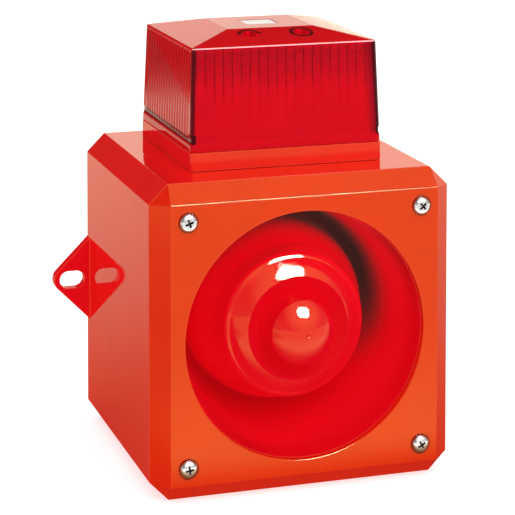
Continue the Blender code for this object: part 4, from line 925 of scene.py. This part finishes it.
# ============================================================== beacon base
def block_at(hx, hy, z0, z1, edge=0.0, segs=4, top=0.0, top_segs=3):
    ob = box(-hx, hx, BY - hy, BY + hy, z0, z1)
    bm = bmesh.new()
    bm.from_mesh(ob.data)
    if edge:
        up = [e for e in bm.edges if abs(e.verts[0].co.z - e.verts[1].co.z) > 1e-5]
        bmesh.ops.bevel(bm, geom=up, offset=edge * MM, segments=segs, profile=0.5, affect="EDGES")
    if top:
        rim = [e for e in bm.edges if all(abs(v.co.z - z1 * MM) < 1e-7 for v in e.verts)]
        bmesh.ops.bevel(bm, geom=rim, offset=top * MM, segments=top_segs, profile=0.5, affect="EDGES")
    bm.to_mesh(ob.data)
    bm.free()
    return ob


base = block_at(PLX, PLY, BASE_Z0, BASE_Z1, 1.6, 6, 0.45)
base = join(base, block_at(47.6, 43.6, BASE_Z1 - 1.0, 92.4, 1.0, 3, 0.3, 2))
base = cut(base, block_at(45.4, 41.4, BASE_Z1, 96.0, 0.8, 3), block_at(PLX - 2.5, PLY - 2.5, BASE_Z0 - 4, BASE_Z1 - 2.5, 0.8, 3))
b_add, b_cut = [], []
for sx in (-1, 1):
    for sy in (-1, 1):
        b_add += [rod((sx * WELL_X, BY + sy * WELL_Y, BASE_Z0 + 0.4), (0, 0, 1), 4.6, 8.0, 32),
                  rod((sx * 40.0, BY + sy * 36.0, BASE_Z0 + 0.4), (0, 0, 1), 3.8, 8.0, 32),
                  turned([(0, 97.6), (0.9, 97.6), (1.2, 97.3), (1.2, 94.7), (2.6, 94.7), (2.6, BASE_Z1 - 1.0), (0, BASE_Z1 - 1.0)],
                         (sx * 37.0, BY + sy * 17.0, 0), (0, 0, 1), 24)]
        b_cut += [rod((sx * WELL_X, BY + sy * WELL_Y, BASE_Z0 + 1.4), (0, 0, 1), 2.4, 14.0, 24),
                  rod((sx * 40.0, BY + sy * 36.0, BASE_Z0 - 4), (0, 0, 1), 1.9, 11.6, 20)]
base = join(base, *b_add)
b_cut.append(rod((0.0, BY + WELL_Y, BASE_Z0 - 4), (0, 0, 1), 5.6, 18, 36))
base = cut(base, *b_cut)
finish(base, "beacon_plinth", "housing", "horn_red", M["base_red"], "beacon_base")


# ============================================================== beacon lens
PITCH = 4.83
RIBS_X, RIBS_Y = 18, 17
PER = 6
SLOPE_X = (PLX - LENS_EDGE_X) / (LENS_EDGE_Z - LENS_Z0)
SLOPE_Y = (PLY - LENS_EDGE_Y) / (LENS_EDGE_Z - LENS_Z0)


def lens_half(z):
    return PLX - SLOPE_X * (z - LENS_Z0), PLY - SLOPE_Y * (z - LENS_Z0)


def stations(ribs):
    n = ribs * PER
    return [(-ribs / 2 + ribs * k / n) * PITCH for k in range(n + 1)]


SX, SY = stations(RIBS_X), stations(RIBS_Y)
CORNER_N = 7


FRONT_WAIST = 0.2


def lens_ring(hx, hy, rc, inset):
    """One closed outline, anticlockwise; inset(t) is the inward offset at t, the
    place across a rib from -1 to 1, or None beside the ribs."""
    out = []
    for side in range(4):
        h, w, st, sp = ((hx, hy, SX, RIBS_X) if side % 2 == 0 else (hy, hx, SY, RIBS_Y))
        lim = h - rc
        row = [(-lim, None)]
        for k, s in enumerate(st):
            t = abs(((k % PER) / PER - 0.5) * 2.0)
            row.append((max(-lim + 0.02, min(lim - 0.02, s if abs(s) <= abs(st[0]) else s)), t))
        # stations squeeze towards the middle where the outline is narrower
        k0 = min(1.0, (lim - 0.3) / abs(st[0]))
        row = [(-lim, None)] + [(s * k0, abs(((k % PER) / PER - 0.5) * 2.0)) for k, s in enumerate(st)] + [(lim, None)]
        for s, t in row:
            out.append((side, s, w - inset(t, side)))
        for k in range(1, CORNER_N):
            a = rad(90.0 * k / CORNER_N)
            off = inset(None, side) * (1 - k / CORNER_N) + inset(None, side + 1) * k / CORNER_N
            out.append((side, lim + (rc - off) * math.sin(a), w - rc + (rc - off) * math.cos(a)))
    pts = []
    for side, u, v in out:
        # side 0 faces -Y and runs to +X, 1 faces +X and runs to +Y, and so on
        if side == 0:
            pts.append((u, -v))
        elif side == 1:
            pts.append((v, u))
        elif side == 2:
            pts.append((-u, v))
        else:
            pts.append((-v, -u))
    return pts


RIB_D = 0.34
WAIST = 0.6


def ease(x):
    x = max(0.0, min(1.0, x))
    return x * x * (3 - 2 * x)


def outer_inset(z):
    def f(t, side):
        waist = WAIST if side % 2 else FRONT_WAIST
        amp = ease((141.9 - z) / 1.3)
        rib = 0.0 if t is None else (RIB_D if side % 2 else 0.13) * t * t * amp
        start = 98.4 if t is None else 97.3 + 1.5 * t * t
        down = ease((start - z) / 2.0) * waist
        up = 1.0 - ease((94.9 - z) / 1.5)
        if z < 96.0:
            rib *= ease((z - 95.0) / 1.0)
        return max(rib, down) * up if z < 95.2 else max(rib, down)
    return f


levels = []
for z, lip in ((LENS_Z0, 0.25), (LENS_Z0 + 0.12, 0.07), (LENS_Z0 + 0.3, 0.0)):
    hx, hy = lens_half(z)
    levels.append((z, hx - lip, hy - lip, 2.5, outer_inset(z)))
for z in (92.2, 93.1, 93.4, 93.7, 94.0, 94.3, 94.6, 94.9, 95.3, 95.7, 96.1, 96.5, 96.8, 97.1, 97.4, 97.7, 98.0, 98.3, 98.6,
          98.9, 101.0, 112.0, 124.0, 136.0, 140.4, 140.8, 141.2, 141.6, 141.9):
    hx, hy = lens_half(z)
    levels.append((z, hx, hy, 2.5, outer_inset(z)))
none = lambda t, side: 0.0
# rounded eave
R_E = 0.85
ax, ay = math.atan(SLOPE_X), math.atan(SLOPE_Y)
bx = math.atan2(LENS_EDGE_X - ROOF_X, ROOF_Z - LENS_EDGE_Z)
by_ = math.atan2(LENS_EDGE_Y - ROOF_Y, ROOF_Z - LENS_EDGE_Z)
n1 = Vector((math.cos(ax), math.sin(ax)))
n2 = Vector((math.cos(bx), math.sin(bx)))
cen = Vector((LENS_EDGE_X, LENS_EDGE_Z)) - R_E * (n1 + n2) / (1 + n1.dot(n2))
n1y = Vector((math.cos(ay), math.sin(ay)))
n2y = Vector((math.cos(by_), math.sin(by_)))
ceny = Vector((LENS_EDGE_Y, LENS_EDGE_Z)) - R_E * (n1y + n2y) / (1 + n1y.dot(n2y))
for k in range(6):
    f = ax + (bx - ax) * k / 5
    levels.append((cen.y + R_E * math.sin(f), cen.x + R_E * math.cos(f), ceny.x + R_E * math.cos(f), 2.5, none))
# roof slope and its rounded inner edge
for g in (0.5, 0.985):
    z = LENS_EDGE_Z + (ROOF_Z - LENS_EDGE_Z) * g
    levels.append((z, LENS_EDGE_X + (ROOF_X - LENS_EDGE_X) * g, LENS_EDGE_Y + (ROOF_Y - LENS_EDGE_Y) * g,
                   2.5 - 1.5 * g, none))
levels.append((ROOF_Z - 0.015, ROOF_X - 0.1, ROOF_Y - 0.1, 0.95, none))
levels.append((ROOF_Z, ROOF_X - 0.65, ROOF_Y - 0.65, 0.8, none))
inner_levels = [(LENS_Z0, PLX - LENS_WALL, PLY - LENS_WALL, 1.4)]
for z, more in ((93.4, 0.0), (95.0, 0.55), (98.0, 0.55), (99.6, 0.0), (120.0, 0.0), (LENS_EDGE_Z - 2.6, 0.0)):
    hx, hy = lens_half(z)
    inner_levels.append((z, hx - LENS_WALL - more, hy - LENS_WALL - more, 1.4))
inner_levels.append((LENS_EDGE_Z - 1.9, LENS_EDGE_X - LENS_WALL - 0.5, LENS_EDGE_Y - LENS_WALL - 0.5, 1.4))
inner_levels.append((ROOF_Z - 2.3, ROOF_X - LENS_WALL, ROOF_Y - LENS_WALL, 0.6))
bm = bmesh.new()
rows = []
for z, hx, hy, rc, ins in levels:
    rows.append([bm.verts.new(((x) * MM, (y + BY) * MM, z * MM)) for x, y in lens_ring(hx, hy, rc, ins)])
inner_rows = []
for z, hx, hy, rc in inner_levels:
    inner_rows.append([bm.verts.new(((x) * MM, (y + BY) * MM, z * MM)) for x, y in lens_ring(hx, hy, rc, none)])


def skin(bm, a, b):
    n = len(a)
    for i in range(n):
        j = (i + 1) % n
        bm.faces.new((a[i], a[j], b[j], b[i]))


for a, b in zip(rows[:-1], rows[1:]):
    skin(bm, a, b)
bm.faces.new(rows[-1])
for a, b in zip(inner_rows[:-1], inner_rows[1:]):
    skin(bm, b, a)
bm.faces.new(list(reversed(inner_rows[-1])))
skin(bm, inner_rows[0], rows[0])
lens = to_object(bm)

wells, bores = [], []
for sx in (-1, 1):
    for sy in (-1, 1):
        ring_pts = []
        for k in range(48):
            wx = sx * WELL_X + WELL_R * math.cos(TAU * k / 48)
            wy = sy * WELL_Y + WELL_R * math.sin(TAU * k / 48)
            roof = ROOF_Z - (abs(wy) - ROOF_Y) * (ROOF_Z - LENS_EDGE_Z) / (LENS_EDGE_Y - ROOF_Y)
            roof = min(roof, ROOF_Z)
            ring_pts += [(wx, BY + wy, 90.2), (wx, BY + wy, roof - 0.9)]
        wells.append(hull(ring_pts))
        roof_c = ROOF_Z - (WELL_Y - ROOF_Y) * (ROOF_Z - LENS_EDGE_Z) / (LENS_EDGE_Y - ROOF_Y)
        bores.append(turned([(0, 153.0), (WELL_BORE, 153.0), (WELL_BORE, 93.2), (2.4, 93.2), (2.4, 85.0), (0, 85.0)],
                            (sx * WELL_X, BY + sy * WELL_Y, 0), (0, 0, 1), 48))
lens = join(lens, *wells)
lens = cut(lens, *bores, box(-8.8, 8.8, BY - 7.8, BY + 7.8, ROOF_Z - 0.9, ROOF_Z + 3, 0.25, 2))
finish(lens, "beacon_cap", "lens_assembly", "lens_red", M["lens_red"], "beacon_lens", angle=22)

# ============================================================ blank roof label
label = box(-8.4, 8.4, BY - 7.4, BY + 7.4, ROOF_Z - 0.6, ROOF_Z - 0.15, 0.12, 2)
finish(label, "roof_label", "lens_assembly", "label_white", M["label_white"], "roof_label_blank")

# =============================================================== gland nut
GX = HALF


def hex_points(af, cy, cz, turn=0.5):
    r = af / math.sqrt(3.0)
    return [(cy + r * math.cos(TAU * (k + turn) / 6), cz + r * math.sin(TAU * (k + turn) / 6)) for k in range(6)]


cap = hull([(x, y, z) for y, z in hex_points(24.0, GLAND_Y, GLAND_Z) for x in (GX + 5.5, GX + 15.0)], 0.35, 3)
cap = join(cap, turned([(0, 13.0), (11.7, 13.0), (11.7, 15.6), (11.5, 16.6), (10.9, 17.8), (10.0, 19.0), (9.0, 19.7), (8.0, 20.0), (0, 20.0)],
                       (GX, GLAND_Y, GLAND_Z), (1, 0, 0), 64))
cap = cut(cap, rod((GX + 2.0, GLAND_Y, GLAND_Z), (1, 0, 0), 9.4, 14.6, 48),
          turned([(0, 8.0), (5.4, 8.0), (5.4, 19.4), (6.0, 20.001), (6.0, 26.0), (0, 26.0)], (GX, GLAND_Y, GLAND_Z), (1, 0, 0), 48))
finish(cap, "gland_dome_nut", "gland_nut", "nylon_black", M["nylon_black"], "cable_gland_nut")

# small rounded edges on the inner parts that keep their CAD mesh
for node, width in (("terminal_block", 0.2), ("tone_switch_body", 0.2), ("volume_control_body", 0.2),
                    ("tone_transformer", 0.25), ("sounder_board", 0.1), ("blanking_plug", 0.2),
                    ("cable_gland_body", 0.25), ("cable_gland_locknut", 0.25)):
    m = NODES[node].modifiers.new("edge", "BEVEL")
    m.width = width * MM
    m.segments = 2
    m.limit_method = "ANGLE"
    m.angle_limit = rad(40)

# =================================================================== stage
cam_data = bpy.data.cameras.new("camera")
cam = bpy.data.objects.new("camera", cam_data)
scene.collection.objects.link(cam)
cam_right = Vector((0.956411, -0.292023, -0.000114))
cam_up = Vector((0.017196, 0.055928, 0.998287))
cam_fwd = Vector((0.291516, 0.954775, -0.058512))
rot = Matrix((cam_right, cam_up, -cam_fwd)).transposed().to_4x4()
cam.matrix_world = Matrix.Translation((-0.341346, -1.102179, 0.312645)) @ rot
cam_data.sensor_width = 36.0
cam_data.sensor_fit = "HORIZONTAL"
cam_data.lens = 143.442
# the rising front belongs to this standpoint alone: it fades to none when the camera stands elsewhere
stand = bpy.data.objects.new("camera_stand", None)
scene.collection.objects.link(stand)
stand.location = cam.matrix_world.translation
for prop, amount in (("shift_x", 0.08052), ("shift_y", -0.81975)):
    setattr(cam_data, prop, amount)
    curve = cam_data.driver_add(prop)
    curve.driver.type = "SUM"
    var = curve.driver.variables.new()
    var.name = "away"
    var.type = "LOC_DIFF"
    var.targets[0].id = cam
    var.targets[1].id = stand
    for m in list(curve.modifiers):
        curve.modifiers.remove(m)
    curve.extrapolation = "CONSTANT"
    curve.keyframe_points.add(3)
    for kp, (at, value) in zip(curve.keyframe_points, ((0.0, amount), (0.002, amount), (0.02, 0.0))):
        kp.co = (at, value)
        kp.interpolation = "LINEAR"
    curve.update()
cam_data.clip_start = 0.01
cam_data.clip_end = 100.0
scene.camera = cam
scene.view_settings.view_transform = "Standard"

# floor
bm = bmesh.new()
bmesh.ops.create_grid(bm, x_segments=1, y_segments=1, size=20.0)
floor = to_object(bm, "floor")
floor.location = (0, 0, FLOOR_Z)
k = Mat("floor_pale")
k.set(Base_Color=(0.86, 0.86, 0.86, 1.0), Roughness=0.8, Specular_IOR_Level=0.0)
geo = k.node("ShaderNodeNewGeometry")
sep = k.node("ShaderNodeSeparateXYZ")
k.link(geo.outputs["Position"], sep.inputs[0])


def math_node(k, op, a, b=None, c=None, clamp=False):
    n = k.node("ShaderNodeMath", operation=op, use_clamp=clamp)
    for s, v in zip(n.inputs, (a, b, c)):
        if v is None:
            continue
        if isinstance(v, bpy.types.NodeSocket):
            k.link(v, s)
        else:
            s.default_value = v
    return n.outputs[0]


def step(k, v, a, b, lo=0.0, hi=1.0):
    n = k.node("ShaderNodeMapRange", interpolation_type="SMOOTHSTEP")
    n.inputs["From Min"].default_value = a
    n.inputs["From Max"].default_value = b
    n.inputs["To Min"].default_value = lo
    n.inputs["To Max"].default_value = hi
    k.link(v, n.inputs["Value"])
    return n.outputs["Result"]


# distance from the body's footprint
dx = math_node(k, "MAXIMUM", math_node(k, "SUBTRACT", math_node(k, "ABSOLUTE", sep.outputs["X"]), 0.08), 0.0)
dy = math_node(k, "MAXIMUM", math_node(k, "SUBTRACT", math_node(k, "ABSOLUTE", math_node(k, "ADD", sep.outputs["Y"], 0.07)), 0.07), 0.0)
dist = math_node(k, "SQRT", math_node(k, "ADD", math_node(k, "MULTIPLY", dx, dx), math_node(k, "MULTIPLY", dy, dy)))
# painted shadow, seen only in reflections: the floor is dark next to the body and brightens with distance
near = math_node(k, "ADD", math_node(k, "MULTIPLY", math_node(k, "POWER", dist, 0.6), 0.80), 0.09)
behind = step(k, sep.outputs["Y"], -0.21, -0.145)                 # 1 behind the front, 0 in front
# painted shade and light, seen only in reflections: far left behind and left front dimmed, the floor just in front
# brighter and warm orange
far_left = math_node(k, "MULTIPLY", step(k, sep.outputs["X"], 0.05, -0.10), step(k, sep.outputs["Y"], 0.95, 1.10))
front_far = step(k, dist, 0.03, 0.30, 1.55, 1.0)
left_dim = math_node(k, "MULTIPLY", step(k, sep.outputs["X"], -0.12, -0.25), step(k, sep.outputs["Y"], -0.36, -0.24))
g_front = math_node(k, "MULTIPLY", front_far, math_node(k, "SUBTRACT", 1.0, math_node(k, "MULTIPLY", left_dim, 0.65)))
g_rear = math_node(k, "MULTIPLY", near, math_node(k, "SUBTRACT", 1.0, math_node(k, "MULTIPLY", far_left, 0.9)))
mixg = k.node("ShaderNodeMix", data_type="FLOAT")
k.link(behind, mixg.inputs[0])
k.link(g_front, mixg.inputs[2])
k.link(g_rear, mixg.inputs[3])
em_g = k.node("ShaderNodeEmission")
k.link(mixg.outputs[0], em_g.inputs["Strength"])
k.link(k.mix(behind, (1.0, 1.0, 1.0), k.mix(step(k, dist, 0.02, 0.30), (1.35, 0.80, 0.42), (1.0, 0.98, 0.74))), em_g.inputs["Color"])
em_c = k.node("ShaderNodeEmission")
em_c.inputs["Strength"].default_value = 0.58
add = k.node("ShaderNodeAddShader")
k.link(k.b.outputs[0], add.inputs[0])
k.link(em_c.outputs[0], add.inputs[1])
lp = k.node("ShaderNodeLightPath")
em_d = k.node("ShaderNodeEmission")
em_d.inputs["Strength"].default_value = 0.95
m1 = k.node("ShaderNodeMixShader")
k.link(lp.outputs["Is Glossy Ray"], m1.inputs[0])
k.link(em_d.outputs[0], m1.inputs[1])
k.link(em_g.outputs[0], m1.inputs[2])
m2 = k.node("ShaderNodeMixShader")
k.link(lp.outputs["Is Camera Ray"], m2.inputs[0])
k.link(m1.outputs[0], m2.inputs[1])
k.link(add.outputs[0], m2.inputs[2])
k.link(m2.outputs[0], k.out.inputs["Surface"])
k.m.cycles.emission_sampling = "NONE"
floor.data.materials.append(k.m)

# world: white for the camera, an even soft light for the object, a shaped surround for reflections
world = bpy.data.worlds.new("studio")
scene.world = world
world.use_nodes = True


class W(Mat):
    def __init__(self):
        self.t = world.node_tree
        self.t.nodes.clear()
        self.out = self.t.nodes.new("ShaderNodeOutputWorld")


w = W()
tc = w.node("ShaderNodeTexCoord")
nrm = w.node("ShaderNodeVectorMath", operation="NORMALIZE")
w.link(tc.outputs["Generated"], nrm.inputs[0])
sp = w.node("ShaderNodeSeparateXYZ")
w.link(nrm.outputs[0], sp.inputs[0])
X, YY, Z = sp.outputs["X"], sp.outputs["Y"], sp.outputs["Z"]
rear = step(w, YY, 0.0, 0.5)
top_edge = math_node(w, "ADD", math_node(w, "MULTIPLY", X, 0.35), 0.245)
low = step(w, math_node(w, "SUBTRACT", Z, top_edge), -0.035, 0.035, 1.0, 0.0)
right_of = step(w, X, -0.10, -0.02)
sweep = math_node(w, "MULTIPLY", math_node(w, "MULTIPLY", rear, low), right_of)
rear_l = math_node(w, "ADD", math_node(w, "MULTIPLY", sweep, 1.22), 0.06)
dotk = w.node("ShaderNodeVectorMath", operation="DOT_PRODUCT")
w.link(nrm.outputs[0], dotk.inputs[0])
dotk.inputs[1].default_value = Vector((0.174, -0.696, 0.701)).normalized()
halo = step(w, dotk.outputs["Value"], 0.55, 0.98, 0.0, 1.5)
front_l = math_node(w, "ADD", step(w, Z, 0.0, 0.9, 0.50, 0.12), halo)
mixw = w.node("ShaderNodeMix", data_type="FLOAT")
w.link(rear, mixw.inputs[0])
w.link(front_l, mixw.inputs[2])
w.link(rear_l, mixw.inputs[3])
bg_g = w.node("ShaderNodeBackground")
w.link(mixw.outputs[0], bg_g.inputs["Strength"])
w.link(w.mix(rear, (0.8, 0.8, 0.8), (0.86, 0.83, 0.68)), bg_g.inputs["Color"])
bg_d = w.node("ShaderNodeBackground")
bg_d.inputs["Strength"].default_value = 1.06
bg_c = w.node("ShaderNodeBackground")
bg_c.inputs["Strength"].default_value = 1.0
bg_t = w.node("ShaderNodeBackground")
bg_t.inputs["Strength"].default_value = 1.0
lpw = w.node("ShaderNodeLightPath")
a1 = w.node("ShaderNodeMixShader")
w.link(lpw.outputs["Is Glossy Ray"], a1.inputs[0])
w.link(bg_d.outputs[0], a1.inputs[1])
w.link(bg_g.outputs[0], a1.inputs[2])
a1b = w.node("ShaderNodeMixShader")
w.link(lpw.outputs["Is Transmission Ray"], a1b.inputs[0])
w.link(a1.outputs[0], a1b.inputs[1])
w.link(bg_t.outputs[0], a1b.inputs[2])
a2 = w.node("ShaderNodeMixShader")
w.link(lpw.outputs["Is Camera Ray"], a2.inputs[0])
w.link(a1b.outputs[0], a2.inputs[1])
w.link(bg_c.outputs[0], a2.inputs[2])
w.link(a2.outputs[0], w.out.inputs["Surface"])


# key softbox: an area light for the diffuse, a glowing card for the reflection
def facing(direction, distance, target=Vector((0, -0.10, 0.03))):
    d = Vector(direction).normalized()
    place = target + d * distance
    return Matrix.Translation(place) @ Vector((0, 0, 1)).rotation_difference(d).to_matrix().to_4x4()


KEY = (0.174, -0.696, 0.701)
ld = bpy.data.lights.new("key", "AREA")
ld.energy = 2.4
ld.size = 0.6
ld.color = (1.0, 0.97, 0.93)
key = bpy.data.objects.new("key", ld)
scene.collection.objects.link(key)
key.matrix_world = facing(KEY, 1.1)
key.visible_glossy = False
key.visible_camera = False
key.visible_transmission = False


def card(name, direction, distance, wx, wy, strength, colour=(1, 1, 1)):
    bm = bmesh.new()
    bmesh.ops.create_grid(bm, x_segments=1, y_segments=1, size=0.5)
    bmesh.ops.scale(bm, vec=(wx, wy, 1), verts=bm.verts)
    ob = to_object(bm, name)
    ob.matrix_world = facing(direction, distance)
    kk = Mat(name)
    em = kk.node("ShaderNodeEmission")
    em.inputs["Color"].default_value = (*colour, 1.0)
    # brightness falls away towards rounded corners
    co = kk.node("ShaderNodeTexCoord")
    se = kk.node("ShaderNodeSeparateXYZ")
    kk.link(co.outputs["Object"], se.inputs[0])
    terms = []
    for axis, half in ((0, wx / 2), (1, wy / 2)):
        a = math_node(kk, "DIVIDE", math_node(kk, "ABSOLUTE", se.outputs[axis]), half)
        terms.append(math_node(kk, "POWER", a, 3.2))
    body = step(kk, math_node(kk, "ADD", terms[0], terms[1]), 0.62, 1.0, strength, 0.0)
    kk.link(body, em.inputs["Strength"])
    kk.link(em.outputs[0], kk.out.inputs["Surface"])
    kk.m.cycles.emission_sampling = "NONE"
    ob.data.materials.append(kk.m)
    ob.visible_camera = False
    ob.visible_diffuse = False
    ob.visible_transmission = False
    ob.visible_shadow = False
    return ob


card("softbox", KEY, 1.1, 0.66, 0.60, 36.0, (0.90, 1.00, 2.60))

# light-path limits for the clear lens
scene.cycles.max_bounces = 14
scene.cycles.transmission_bounces = 12
scene.cycles.glossy_bounces = 5
scene.cycles.diffuse_bounces = 5
scene.cycles.caustics_refractive = True
scene.cycles.caustics_reflective = False
